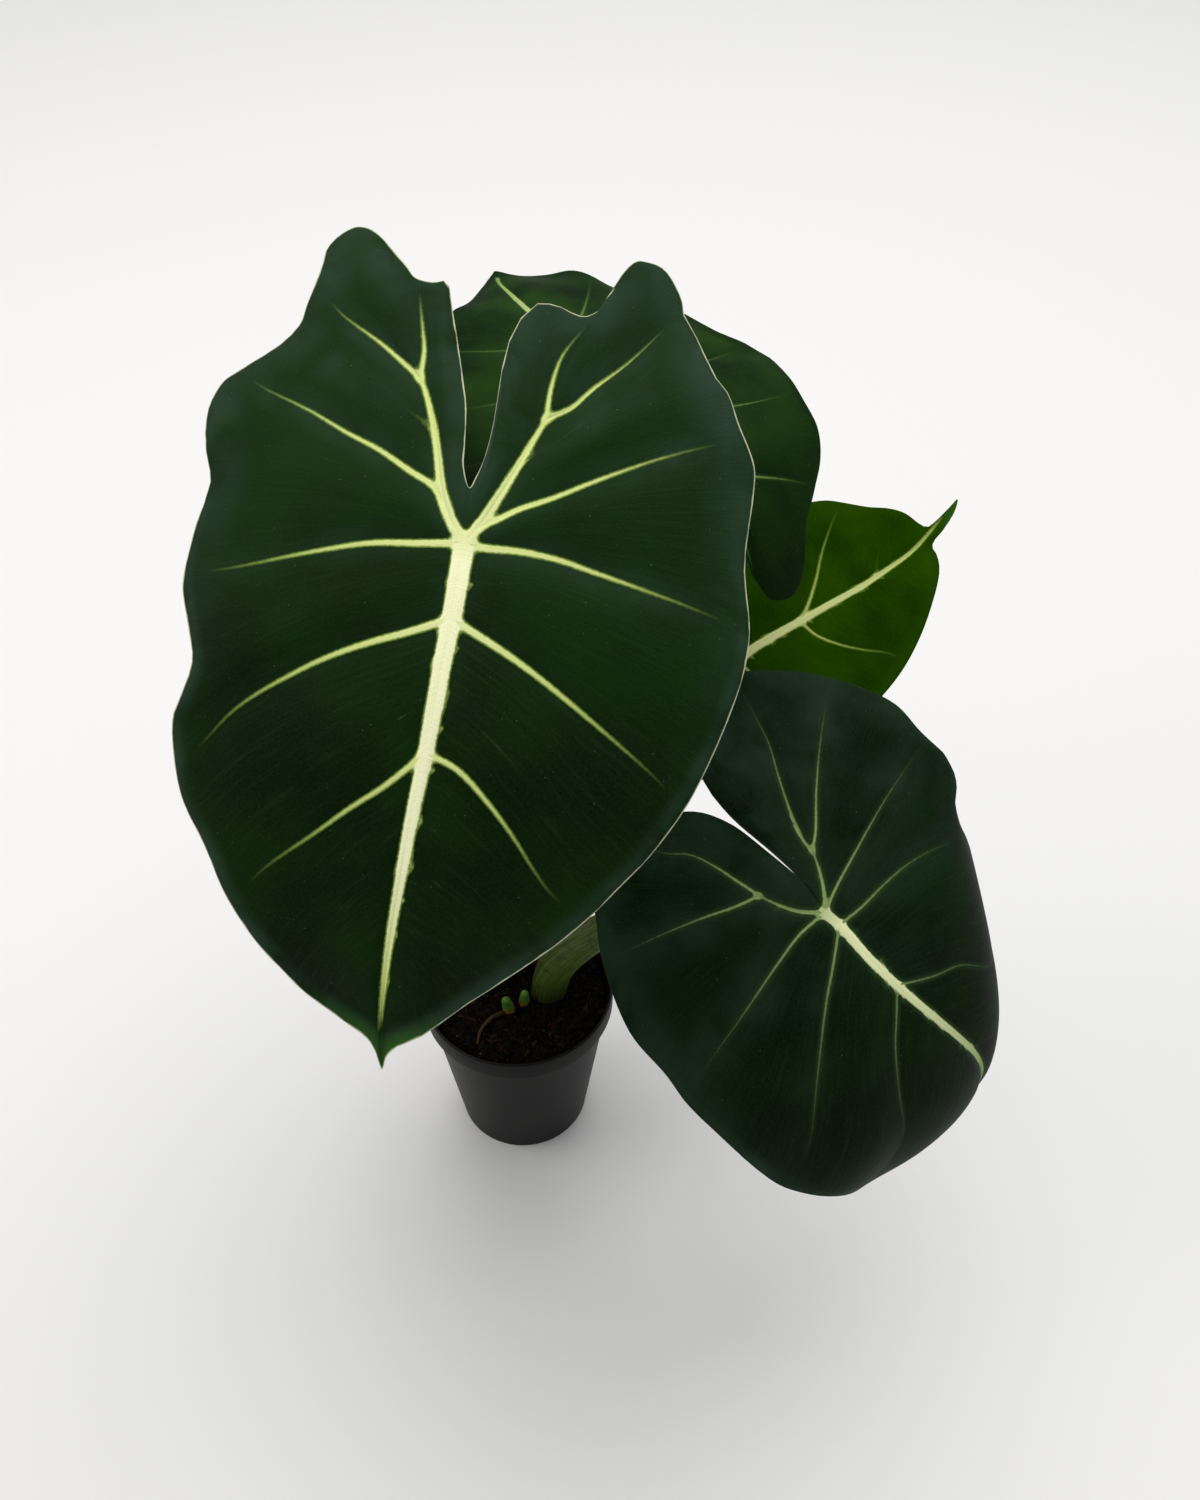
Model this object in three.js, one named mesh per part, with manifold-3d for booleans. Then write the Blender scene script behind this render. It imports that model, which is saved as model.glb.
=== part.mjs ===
// Potted frydek alocasia: four velvet arrow-shaped blades on sheathed petioles in a nursery pot.
// Millimetres, +Z up. The origin is the centre of the pot's underside.

import * as THREE from 'three';
import { mergeVertices } from 'three/addons/utils/BufferGeometryUtils.js';
import ManifoldModule from 'manifold-3d';

const wasm = await ManifoldModule();
wasm.setup();

// Gap between pieces that touch on the real plant, and a little more where two facetted cones nest
const seatGap = 0.3;
const facetSlack = 0.4;

// Nursery pot: a plain tapered round pot with a stepped rim band and drain holes.
// edge is the size of the small bevels round its corners.
const pot = {
  height: 78,
  rimRadius: 38,
  rimBand: 9,
  rimStep: 2.2,
  baseRadius: 26.5,
  wall: 1.3,
  floor: 1.6,
  edge: 0.8,
  facets: 48,
  drainHoles: 6,
  drainRadius: 3.2,
  drainCircle: 18,
};

// Soil: fills the pot to a little under the rim, with a crumbly uneven top that falls at its edge
const soil = {
  level: 72.5,
  relief: 0.9,
  edgeFall: 0.6,
  rings: 9,
  facets: 44,
};

// Rhizome: the short thick stem under the soil that every petiole grows from
const rhizome = {
  centre: [4, 9],
  bottom: 34,
  top: 62,
  radius: 16,
  rows: 8,
  facets: 20,
};

// Blades: thickness and the places of the mesh lines between two veins and from rib to margin
const blade = {
  thickness: 0.8,
  between: [0.12, 0.5, 0.88],
  levels: [0, 0.06, 0.25, 0.5, 0.76, 0.93, 1],
  ribAtJoint: 2.4,
  midribAtTip: 0.8,
  costaAtFork: 1.3,
};

// Petioles: how far they reach below the rhizome's top, and the mesh of their tubes
const petiole = {
  sink: 8,
  steps: 22,
  sides: 12,
};

// One entry for each leaf. Blade coordinates are flat: the petiole joins at (0, 0), y runs to the
// tip and x to the right, seen from above. Outlines run from the notch to the tip on either side.
// The ends of the veins are counted along those outline points, with the notch as 0.
const leaves = {
  front: {
    colour: 0x16281a,
    attach: [-2, -48, 334],
    azimuth: -102,
    droop: 33,
    twist: 0,
    tipBend: 38,
    lobeBend: 14,
    rightBend: [14, 14],
    leftBend: [14, 14],
    wave: 1.6,
    waves: 11,
    quilt: 2.2,
    notch: [1.5, -15],
    tip: [5, 145],
    right: [
      [6, -25], [9, -40], [14, -55], [20, -70], [24.5, -76.5], [31, -77], [41, -88], [54, -100],
      [61, -90], [60.5, -69], [62.5, -60], [76, -52.5], [84, -41], [82, -24], [78, -11], [80, 6],
      [79, 18], [73, 31], [69.5, 42], [75, 56], [73.5, 68], [65, 84], [49, 104], [26, 125], [11, 135],
    ],
    left: [
      [-1, -30], [-0.5, -50], [-1, -66], [-7, -73], [-17, -74], [-24, -79], [-28, -88.5], [-35, -88.5],
      [-44, -77], [-56, -60], [-66, -45], [-71, -28], [-72, -8], [-75.5, 10], [-75, 27], [-68, 56],
      [-57, 77], [-45, 94], [-27, 113], [-7, 130], [3, 137],
    ],
    midrib: [[0, 0], [-1, 66], [7, 134]],
    rightFork: [22, -45],
    leftFork: [-14.5, -38],
    costaStart: 0.32,
    midribFeet: [0.17, 0.44, 0.74],
    rightEnds: [6, 8, 10, 13, 16.8, 21, 23, 24],
    leftEnds: [5, 7.5, 9, 11, 14, 16.2, 18, 19],
    base: [-9, 9],
    route: [[-10, 7, 110], [-11, -6, 200]],
    arrive: 34,
    radii: [6.2, 4.6, 3.4],
  },
  low: {
    colour: 0x18301b,
    attach: [100.5, -73, 214.5],
    azimuth: -33,
    droop: 24,
    twist: -24,
    tipBend: 84,
    lobeBend: 15,
    rightBend: [18, 30],
    leftBend: [18, 135],
    wave: 1.6,
    waves: 9,
    quilt: 2,
    notch: [-2, -10],
    tip: [0, 127],
    right: [
      [-1.5, -27], [0, -45], [7, -57], [20, -64], [34, -63], [46, -52], [54, -43], [65, -23],
      [68, -6], [70.5, 4], [71.5, 22], [71, 42], [68, 65], [57, 86], [39, 103], [17, 117],
    ],
    left: [
      [-4.5, -27], [-5, -46], [-10, -56], [-28, -64], [-46, -69], [-56, -59], [-63, -47], [-70, -26],
      [-68, -3], [-68, 12], [-66, 30], [-60, 50], [-50, 70], [-38, 87], [-22, 102], [-9, 112],
    ],
    midrib: [[0, 0], [1, 50], [-1, 112]],
    rightFork: [8, -18],
    leftFork: [-11, -12.5],
    costaStart: 0.4,
    midribFeet: [0.06, 0.3, 0.62],
    rightEnds: [3.7, 5, 7, 8.3, 9.6, 12.6, 14, 15],
    leftEnds: [4.6, 5.6, 7.4, 8.3, 9, 10.6, 12.6, 14.4],
    base: [12, 2],
    route: [[16, 0, 92], [34, -8, 124], [68, -28, 172]],
    arrive: 26,
    radii: [7.6, 5, 3.2],
  },
  back: {
    colour: 0x14241a,
    attach: [45, 24, 327],
    azimuth: 119,
    droop: -8,
    twist: -4,
    tipBend: 20,
    lobeBend: 72,
    rightBend: [5, 12],
    leftBend: [12, 12],
    wave: 1.2,
    waves: 9,
    quilt: 1.6,
    notch: [0, -11],
    tip: [4, 110],
    right: [
      [1, -27], [5, -42], [13, -50], [17, -60], [23, -69], [30, -69], [34, -61], [36, -49],
      [45, -38], [51, -28], [53, -12], [56, 4], [59, 18], [54, 28], [47, 38], [45, 52],
      [39, 73], [33, 91], [24, 101], [12, 106],
    ],
    left: [
      [-1, -27], [-4, -42], [-11, -55], [-20, -66], [-29, -69], [-38, -62], [-44, -50], [-53, -37],
      [-60, -18], [-63, 2], [-61, 22], [-54, 43], [-41, 60], [-25, 76], [-13, 89], [-5, 101],
    ],
    midrib: [[0, 0], [-2, 50], [3, 103]],
    rightFork: [11, -28],
    leftFork: [-11, -28],
    costaStart: 0.35,
    midribFeet: [0.17, 0.42, 0.7],
    rightEnds: [4, 5.4, 9, 10, 11.4, 13.6, 18, 19],
    leftEnds: [4, 5.4, 7, 8.4, 10, 11.4, 13, 15],
    base: [2, 21],
    route: [[2, 23, 110], [12, 28, 210]],
    arrive: 30,
    radii: [5.6, 4.2, 3],
  },
  young: {
    colour: 0x35521a,
    attach: [64, -3, 238],
    azimuth: 43,
    droop: -5,
    twist: -20,
    tipBend: 9,
    lobeBend: 12,
    rightBend: [12, 12],
    leftBend: [12, 12],
    wave: 1,
    waves: 9,
    quilt: 1.4,
    notch: [0, -10],
    tip: [-2, 143],
    right: [
      [1, -24], [3, -38], [8, -50], [16, -60], [24, -63], [30, -57], [33, -48], [39, -34],
      [41, -14], [41, 6], [40, 26], [38, 50], [33, 70], [20, 100], [10, 115], [4, 125],
    ],
    left: [
      [-1, -24], [-3, -38], [-8, -50], [-16, -60], [-24, -63], [-30, -57], [-33, -48], [-39, -34],
      [-41, -14], [-41, 6], [-41, 28], [-40, 52], [-38, 76], [-25, 106], [-10, 120], [-3, 128],
    ],
    midrib: [[0, 0], [2, 62], [0, 128]],
    rightFork: [9, -25],
    leftFork: [-9, -25],
    costaStart: 0.35,
    midribFeet: [0.16, 0.42, 0.7],
    rightEnds: [4, 5.2, 7, 9, 11, 12.6, 13.6, 14.4],
    leftEnds: [4, 5.2, 7, 9, 11, 12.6, 13.6, 14.4],
    base: [15, 16],
    route: [[18, 17, 100], [36, 13, 160]],
    arrive: 24,
    radii: [5, 3.8, 2.6],
  },
};

// Sprouts: two young offsets that have just broken the soil
const sprouts = {
  near: { at: [-3.5, -8], radius: 2.5, rise: 7.5, lean: [-0.6, -0.5] },
  far: { at: [2.5, -4.5], radius: 2.3, rise: 7, lean: [0.3, -0.5] },
};
const sproutDepth = 7;
const sproutSteps = 10;
const sproutSides = 10;

const radians = THREE.MathUtils.degToRad;

// A mesh as a solid for cutting, and a solid back as a mesh
function solidOf(geometry) {
  const bare = geometry.clone();
  bare.deleteAttribute('normal');
  bare.deleteAttribute('uv');
  const merged = mergeVertices(bare, 1e-4);
  const mesh = new wasm.Mesh({
    numProp: 3,
    vertProperties: Float32Array.from(merged.attributes.position.array),
    triVerts: Uint32Array.from(merged.index.array),
  });
  return new wasm.Manifold(mesh);
}

function geometryOf(solid) {
  const mesh = solid.getMesh();
  const geometry = new THREE.BufferGeometry();
  geometry.setAttribute('position', new THREE.Float32BufferAttribute(mesh.vertProperties, 3));
  geometry.setIndex(new THREE.Uint32BufferAttribute(mesh.triVerts, 1));
  geometry.computeVertexNormals();
  return geometry;
}

function geometryFrom(points, faces) {
  const geometry = new THREE.BufferGeometry();
  geometry.setAttribute('position', new THREE.Float32BufferAttribute(points.flat(), 3));
  geometry.setIndex(faces.flat());
  return geometry;
}

// A closed tube along a curve, with a radius that changes along it
function tube(curve, steps, sides, radiusAt) {
  const frames = curve.computeFrenetFrames(steps, false);
  const points = [];
  const faces = [];
  for (let i = 0; i <= steps; i++) {
    const centre = curve.getPointAt(i / steps);
    for (let j = 0; j < sides; j++) {
      const angle = (2 * Math.PI * j) / sides;
      const point = centre.clone();
      point.addScaledVector(frames.normals[i], Math.cos(angle) * radiusAt(i / steps));
      point.addScaledVector(frames.binormals[i], Math.sin(angle) * radiusAt(i / steps));
      points.push(point.toArray());
    }
  }
  points.push(curve.getPointAt(0).toArray(), curve.getPointAt(1).toArray());
  const first = points.length - 2;
  const last = points.length - 1;
  for (let j = 0; j < sides; j++) {
    const next = (j + 1) % sides;
    for (let i = 0; i < steps; i++) {
      const a = i * sides + j;
      const b = i * sides + next;
      faces.push([a, b, b + sides], [a, b + sides, a + sides]);
    }
    faces.push([first, next, j], [last, steps * sides + j, steps * sides + next]);
  }
  return geometryFrom(points, faces);
}

// The directions of a leaf: right, towards the tip, and up from its upper face
function leafAxes(leaf) {
  const azimuth = radians(leaf.azimuth);
  const droop = radians(leaf.droop);
  const twist = radians(leaf.twist);
  const forward = new THREE.Vector3(
    Math.cos(droop) * Math.cos(azimuth),
    Math.cos(droop) * Math.sin(azimuth),
    -Math.sin(droop),
  );
  const level = new THREE.Vector3(Math.sin(azimuth), -Math.cos(azimuth), 0);
  const normal = level.clone().cross(forward);
  const right = level.multiplyScalar(Math.cos(twist)).addScaledVector(normal, Math.sin(twist));
  return { right, forward, up: right.clone().cross(forward) };
}

// Bends a flat point of a leaf: the tip and the lobes arch down, and so do both sides
function bendPoint(leaf, x, y, rise) {
  const front = leaf.tip[1];
  const back = leaf.backReach;
  const along = y >= 0 ? radians(leaf.tipBend) / front : radians(leaf.lobeBend) / back;
  const side = x >= 0 ? leaf.rightBend : leaf.leftBend;
  const share = THREE.MathUtils.clamp(y / front, 0, 1);
  const across = radians(THREE.MathUtils.lerp(side[0], side[1], share)) / leaf.halfWidth;
  const drop = (1 - Math.cos(across * x)) / across;
  const height = rise - drop;
  const turn = along * y;
  const point = new THREE.Vector3().fromArray(leaf.attach);
  point.addScaledVector(leaf.axes.right, Math.sin(across * x) / across);
  point.addScaledVector(leaf.axes.forward, Math.sin(turn) / along + height * Math.sin(turn));
  point.addScaledVector(leaf.axes.up, -(1 - Math.cos(turn)) / along + height * Math.cos(turn));
  return point;
}

function curve2(points) {
  const [start, middle, end] = points.map(([x, y]) => new THREE.Vector2(x, y));
  return new THREE.QuadraticBezierCurve(start, middle, end);
}

// Every leaf gets its axes, its outline as one closed curve, and its rib lines
function prepareLeaf(leaf) {
  leaf.axes = leafAxes(leaf);
  const ring = [leaf.notch, ...leaf.right, leaf.tip, ...leaf.left.toReversed()];
  leaf.backReach = -Math.min(...ring.map((point) => point[1]));
  leaf.halfWidth = Math.max(...ring.map((point) => Math.abs(point[0])));
  leaf.ringLength = ring.length;
  const ringPoints = ring.map(([x, y]) => new THREE.Vector3(x, y, 0));
  leaf.outline = new THREE.CatmullRomCurve3(ringPoints, true, 'centripetal');
  leaf.ribs = {
    midrib: curve2(leaf.midrib),
    right: curve2([[0, 0], [leaf.rightFork[0] * 0.45, leaf.rightFork[1] * 0.55], leaf.rightFork]),
    left: curve2([[0, 0], [leaf.leftFork[0] * 0.45, leaf.leftFork[1] * 0.55], leaf.leftFork]),
  };
}

// The veins of one side, from the notch to the tip. Each runs from a foot on a rib to the margin.
// depth is how far the vein stands out under the blade, and bow how much it arches.
function veinsOf(leaf, side) {
  const ends = side > 0 ? leaf.rightEnds : leaf.leftEnds;
  const count = (side > 0 ? leaf.right : leaf.left).length;
  const [inner, lobe, outer, first, second, third, fourth, fifth] = ends;
  const [thirdFoot, fourthFoot, fifthFoot] = leaf.midribFeet;
  return [
    { rib: 'costa', foot: 0, end: 0, depth: 0, bow: 0 },
    { rib: 'costa', foot: 1, end: inner, depth: 0.9, bow: 0 },
    { rib: 'costa', foot: 1, end: lobe, depth: 0, bow: 0 },
    { rib: 'costa', foot: 1, end: outer, depth: 0.9, bow: 0.03 },
    { rib: 'costa', foot: leaf.costaStart, end: first, depth: 1.1, bow: 0.04 },
    { rib: 'costa', foot: 0, end: second, depth: 1.2, bow: 0.05 },
    { rib: 'midrib', foot: thirdFoot, end: third, depth: 1.1, bow: 0.06 },
    { rib: 'midrib', foot: fourthFoot, end: fourth, depth: 1, bow: 0.06 },
    { rib: 'midrib', foot: fifthFoot, end: fifth, depth: 0.6, bow: 0.05 },
    { rib: 'midrib', foot: 1, end: count + 1, depth: 0, bow: 0 },
  ];
}

// The lines of the blade mesh of one side: the veins, and those between each two of them
function raysOf(leaf, side) {
  const veins = veinsOf(leaf, side);
  const rays = [{ ...veins[0], share: 0 }];
  const start = leaf.costaStart;
  const costaFeet = [
    ...blade.between.map((share) => share * start),
    start,
    ...blade.between.map((share) => start + share * (1 - start)),
  ];
  for (const foot of costaFeet) {
    const end = foot * veins[1].end;
    rays.push({ rib: 'costa', foot, end, depth: 0, bow: 0, share: foot });
  }
  rays.push({ ...veins[1], share: 0 });
  for (let i = 1; i < veins.length - 1; i++) {
    const from = veins[i];
    const to = veins[i + 1];
    const fromFoot = from.rib !== to.rib ? 0 : from.foot;
    for (const share of blade.between) {
      rays.push({
        rib: to.rib,
        foot: THREE.MathUtils.lerp(fromFoot, to.foot, share),
        end: THREE.MathUtils.lerp(from.end, to.end, share),
        depth: 0,
        bow: THREE.MathUtils.lerp(from.bow, to.bow, share),
        share,
      });
    }
    rays.push({ ...to, share: 0 });
  }
  return rays;
}

// The flat point at a level of a ray, 0 on the rib and 1 on the margin
function rayPoint(leaf, side, ray, level) {
  const ribName = ray.rib === 'midrib' ? 'midrib' : (side > 0 ? 'right' : 'left');
  const foot = leaf.ribs[ribName].getPoint(ray.foot);
  const ringPlace = side > 0 ? ray.end : leaf.ringLength - ray.end;
  const end = leaf.outline.getPoint((ringPlace / leaf.ringLength) % 1);
  const chordX = end.x - foot.x;
  const chordY = end.y - foot.y;
  const arch = 4 * level * (1 - level) * ray.bow;
  const x = foot.x + chordX * level + arch * side * chordY;
  const y = foot.y + chordY * level - arch * side * chordX;
  return [x, y, ringPlace / leaf.ringLength];
}

// How far the upper face stands above the bent sheet, and the ribs below the lower face
function reliefOf(leaf, ray, level, ringShare) {
  const pillow = leaf.quilt * Math.sin(Math.PI * ray.share) * Math.sin(Math.PI * level ** 0.8);
  const ripple = leaf.wave * Math.sin(2 * Math.PI * leaf.waves * ringShare) * level ** 3;
  return pillow + ripple;
}

function ribDepth(ray, level) {
  if (level > 0) return ray.depth * (1 - level) ** 0.7;
  const atEnd = ray.rib === 'midrib' ? blade.midribAtTip : blade.costaAtFork;
  return THREE.MathUtils.lerp(blade.ribAtJoint, atEnd, ray.foot);
}

// A blade: an upper and a lower face split alike, joined round the margin.
// grow swells it all over, for cutting its seat in the petiole.
function bladeGeometry(leaf, grow = 0) {
  const points = [];
  const faces = [];
  for (const side of [1, -1]) {
    const rays = raysOf(leaf, side);
    const first = points.length;
    const rows = blade.levels.length;
    for (const ray of rays) {
      for (const level of blade.levels) {
        const [x, y, ringShare] = rayPoint(leaf, side, ray, level);
        const rise = reliefOf(leaf, ray, level, ringShare);
        const under = rise - blade.thickness - ribDepth(ray, level);
        points.push(bendPoint(leaf, x, y, rise + grow).toArray());
        points.push(bendPoint(leaf, x, y, under - grow).toArray());
      }
    }
    const upper = (ray, row) => first + 2 * (ray * rows + row);
    const lower = (ray, row) => upper(ray, row) + 1;
    const add = (a, b, c) => faces.push(side > 0 ? [a, b, c] : [a, c, b]);
    for (let i = 0; i < rays.length - 1; i++) {
      const sameFoot = rays[i].rib === rays[i + 1].rib && rays[i].foot === rays[i + 1].foot;
      for (let row = 0; row < rows - 1; row++) {
        add(upper(i, row), upper(i, row + 1), upper(i + 1, row + 1));
        add(lower(i, row), lower(i + 1, row + 1), lower(i, row + 1));
        if (row > 0 || !sameFoot) {
          add(upper(i, row), upper(i + 1, row + 1), upper(i + 1, row));
          add(lower(i, row), lower(i + 1, row), lower(i + 1, row + 1));
        }
      }
      const edge = rows - 1;
      add(lower(i, edge), lower(i + 1, edge), upper(i + 1, edge));
      add(lower(i, edge), upper(i + 1, edge), upper(i, edge));
    }
  }
  return mergeVertices(geometryFrom(points, faces), 1e-3);
}

// A petiole: from the rhizome up through the soil to the underside of its blade
function petioleCurve(leaf) {
  const top = new THREE.Vector3().fromArray(leaf.attach);
  const up = leaf.axes.up;
  const points = [
    new THREE.Vector3(leaf.base[0], leaf.base[1], rhizome.top - petiole.sink),
    new THREE.Vector3(leaf.base[0], leaf.base[1], soil.level),
    ...leaf.route.map((point) => new THREE.Vector3().fromArray(point)),
    top.clone().addScaledVector(up, -leaf.arrive),
    top.clone().addScaledVector(up, -leaf.arrive * 0.45),
    top.clone().addScaledVector(up, -blade.thickness / 2),
  ];
  return new THREE.CatmullRomCurve3(points, false, 'centripetal');
}

function petioleGeometry(leaf, grow = 0) {
  const [base, middle, top] = leaf.radii;
  const radiusAt = (share) => {
    const sheath = THREE.MathUtils.smoothstep(share, 0.12, 0.5);
    return THREE.MathUtils.lerp(base, THREE.MathUtils.lerp(middle, top, share), sheath) + grow;
  };
  return tube(petioleCurve(leaf), petiole.steps, petiole.sides, radiusAt);
}

function potSolid() {
  const band = pot.height - pot.rimBand;
  const mouth = pot.rimRadius - pot.wall;
  const profile = [
    [0, 0], [pot.baseRadius - pot.edge, 0], [pot.baseRadius, pot.edge],
    [pot.rimRadius - pot.rimStep, band], [pot.rimRadius - pot.edge, band],
    [pot.rimRadius, band + pot.edge], [pot.rimRadius, pot.height - pot.edge],
    [pot.rimRadius - pot.edge, pot.height], [mouth, pot.height], [mouth - pot.edge, pot.height - pot.edge],
    [insideRadius(band), band], [insideRadius(pot.floor), pot.floor], [0, pot.floor],
  ];
  const lathe = new THREE.LatheGeometry(profile.map(([r, z]) => new THREE.Vector2(r, z)), pot.facets);
  lathe.rotateX(Math.PI / 2);
  let solid = solidOf(lathe);
  for (let i = 0; i < pot.drainHoles; i++) {
    const angle = (2 * Math.PI * i) / pot.drainHoles;
    const drill = new THREE.CylinderGeometry(pot.drainRadius, pot.drainRadius, 3 * pot.floor, 16);
    drill.rotateX(Math.PI / 2);
    drill.translate(pot.drainCircle * Math.cos(angle), pot.drainCircle * Math.sin(angle), 0);
    solid = solid.subtract(solidOf(drill));
  }
  return solid;
}

// The pot's inner wall is a straight cone from the floor to the rim band
function insideRadius(height) {
  const foot = pot.baseRadius - pot.wall;
  const mouth = pot.rimRadius - pot.rimStep - pot.wall;
  return foot + ((mouth - foot) * height) / (pot.height - pot.rimBand);
}

function soilHeight(x, y) {
  const coarse = Math.sin(0.31 * x + 1.7) * Math.cos(0.27 * y - 0.6);
  const fine = Math.sin(0.83 * x - 0.4 * y) + Math.cos(0.71 * y + 0.5 * x + 2);
  return soil.level + soil.relief * (coarse + 0.45 * fine);
}

function soilSolid() {
  const points = [];
  const faces = [];
  const outer = insideRadius(soil.level) - seatGap - facetSlack;
  points.push([0, 0, soilHeight(0, 0)]);
  for (let ring = 1; ring <= soil.rings; ring++) {
    const radius = (outer * ring) / soil.rings;
    for (let i = 0; i < soil.facets; i++) {
      const angle = (2 * Math.PI * i) / soil.facets;
      const x = radius * Math.cos(angle);
      const y = radius * Math.sin(angle);
      points.push([x, y, soilHeight(x, y) - (ring === soil.rings ? soil.edgeFall : 0)]);
    }
  }
  const bottom = pot.floor + seatGap;
  const foot = insideRadius(bottom) - seatGap - facetSlack;
  for (let i = 0; i < soil.facets; i++) {
    const angle = (2 * Math.PI * i) / soil.facets;
    points.push([foot * Math.cos(angle), foot * Math.sin(angle), bottom]);
  }
  points.push([0, 0, bottom]);
  const at = (ring, i) => 1 + (ring - 1) * soil.facets + (i % soil.facets);
  for (let i = 0; i < soil.facets; i++) {
    faces.push([0, at(1, i), at(1, i + 1)]);
    for (let ring = 1; ring <= soil.rings; ring++) {
      faces.push([at(ring, i), at(ring + 1, i), at(ring + 1, i + 1)]);
      faces.push([at(ring, i), at(ring + 1, i + 1), at(ring, i + 1)]);
    }
    faces.push([at(soil.rings + 1, i), points.length - 1, at(soil.rings + 1, i + 1)]);
  }
  return solidOf(geometryFrom(points, faces));
}

function rhizomeSolid(grow = 0) {
  const middle = (rhizome.top + rhizome.bottom) / 2;
  const half = (rhizome.top - rhizome.bottom) / 2 + grow;
  const profile = [];
  for (let i = 0; i <= rhizome.rows; i++) {
    const angle = (Math.PI * i) / rhizome.rows - Math.PI / 2;
    const radius = i % rhizome.rows === 0 ? 0 : (rhizome.radius + grow) * Math.cos(angle);
    profile.push(new THREE.Vector2(radius, middle + half * Math.sin(angle)));
  }
  const lathe = new THREE.LatheGeometry(profile, rhizome.facets);
  lathe.rotateX(Math.PI / 2);
  lathe.translate(rhizome.centre[0], rhizome.centre[1], 0);
  return solidOf(lathe);
}

function sproutGeometry(sprout, grow = 0) {
  const [x, y] = sprout.at;
  const [leanX, leanY] = sprout.lean;
  const curve = new THREE.CatmullRomCurve3([
    new THREE.Vector3(x, y, soil.level - sproutDepth - grow),
    new THREE.Vector3(x, y, soil.level),
    new THREE.Vector3(x + leanX, y + leanY, soil.level + sprout.rise * 0.6),
    new THREE.Vector3(x + 2 * leanX, y + 2 * leanY, soil.level + sprout.rise + grow),
  ]);
  const radiusAt = (share) => sprout.radius * (1 - 0.8 * Math.max(0, share - 0.35) ** 1.6) + grow;
  return tube(curve, sproutSteps, sproutSides, radiusAt);
}

const plant = new THREE.Group();

function addPiece(name, geometry, colour, roughness) {
  const finish = new THREE.MeshStandardMaterial({ color: colour, roughness, metalness: 0 });
  const mesh = new THREE.Mesh(geometry, finish);
  mesh.name = name;
  plant.add(mesh);
}

addPiece('pot', geometryOf(potSolid()), 0x131313, 0.5);

const rhizomeSeat = rhizomeSolid(seatGap);
let ground = soilSolid().subtract(rhizomeSeat);
for (const [name, leaf] of Object.entries(leaves)) {
  prepareLeaf(leaf);
  addPiece(`blade_${name}`, bladeGeometry(leaf), leaf.colour, 0.7);
  const seat = solidOf(bladeGeometry(leaf, seatGap));
  const stem = solidOf(petioleGeometry(leaf)).subtract(seat).subtract(rhizomeSeat);
  addPiece(`petiole_${name}`, geometryOf(stem), 0x5c6b2c, 0.55);
  ground = ground.subtract(solidOf(petioleGeometry(leaf, seatGap)));
}
for (const [name, sprout] of Object.entries(sprouts)) {
  addPiece(`sprout_${name}`, sproutGeometry(sprout), 0x9fb45a, 0.5);
  ground = ground.subtract(solidOf(sproutGeometry(sprout, seatGap)));
}
addPiece('soil', geometryOf(ground), 0x1d1712, 0.95);
addPiece('rhizome', geometryOf(rhizomeSolid()), 0x6b5236, 0.8);

export default plant;
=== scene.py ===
# Potted frydek alocasia: four velvet arrow-shaped leaves with pale ribs, in a black nursery pot.
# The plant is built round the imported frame. Its lengths are millimetres, which become metres in its
# meshes. The camera, the stage and the lights are measured in metres.
import math

import bmesh
import bpy
import numpy as np
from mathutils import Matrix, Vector


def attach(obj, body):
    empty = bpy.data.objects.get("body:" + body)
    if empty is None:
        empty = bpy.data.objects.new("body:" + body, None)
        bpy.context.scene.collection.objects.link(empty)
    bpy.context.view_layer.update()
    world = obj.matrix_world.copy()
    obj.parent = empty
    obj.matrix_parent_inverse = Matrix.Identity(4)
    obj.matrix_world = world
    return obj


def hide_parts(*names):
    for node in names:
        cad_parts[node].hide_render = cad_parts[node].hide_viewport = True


print("Loading the frame")
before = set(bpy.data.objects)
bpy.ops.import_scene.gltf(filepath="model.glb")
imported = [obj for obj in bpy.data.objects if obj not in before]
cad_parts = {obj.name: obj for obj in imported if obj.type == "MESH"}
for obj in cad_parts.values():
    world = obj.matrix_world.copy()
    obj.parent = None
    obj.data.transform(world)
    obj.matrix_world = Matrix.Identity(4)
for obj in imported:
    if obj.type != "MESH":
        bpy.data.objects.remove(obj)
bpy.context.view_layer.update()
millimetre = 0.001
tiny = 1e-9                  # keeps a division from failing


# Objects and meshes
def addObject(name, data, **settings):
    added = bpy.data.objects.new(name, data)
    for key, value in settings.items():
        setattr(added, key, value)
    bpy.context.scene.collection.objects.link(added)
    return added


def addPiece(name, points, faces, materials):
    # A smooth mesh object at the origin, its points given in millimetres
    mesh = bpy.data.meshes.new(name)
    mesh.from_pydata((np.asarray(points) * millimetre).tolist(), [], [tuple(face) for face in faces])
    mesh.update()
    mesh.shade_smooth()
    for material in materials:
        mesh.materials.append(material)
    return addObject(name, mesh)


def addAttribute(mesh, name, values):
    # A number for each point of a mesh
    layer = mesh.attributes.new(name, "FLOAT", "POINT")
    layer.data.foreach_set("value", values.astype(np.float32))


def finishPiece(piece, node):
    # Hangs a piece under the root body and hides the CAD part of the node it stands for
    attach(piece, "root")
    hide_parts(node)


# Nodes
def linearColour(hexText):
    # sRGB hex to the linear values that shaders take
    channels = [int(hexText[start:start + 2], 16) / 255 for start in (1, 3, 5)]
    linear = [c / 12.92 if c <= 0.04045 else ((c + 0.055) / 1.055) ** 2.4 for c in channels]
    return (*linear, 1.0)


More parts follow.
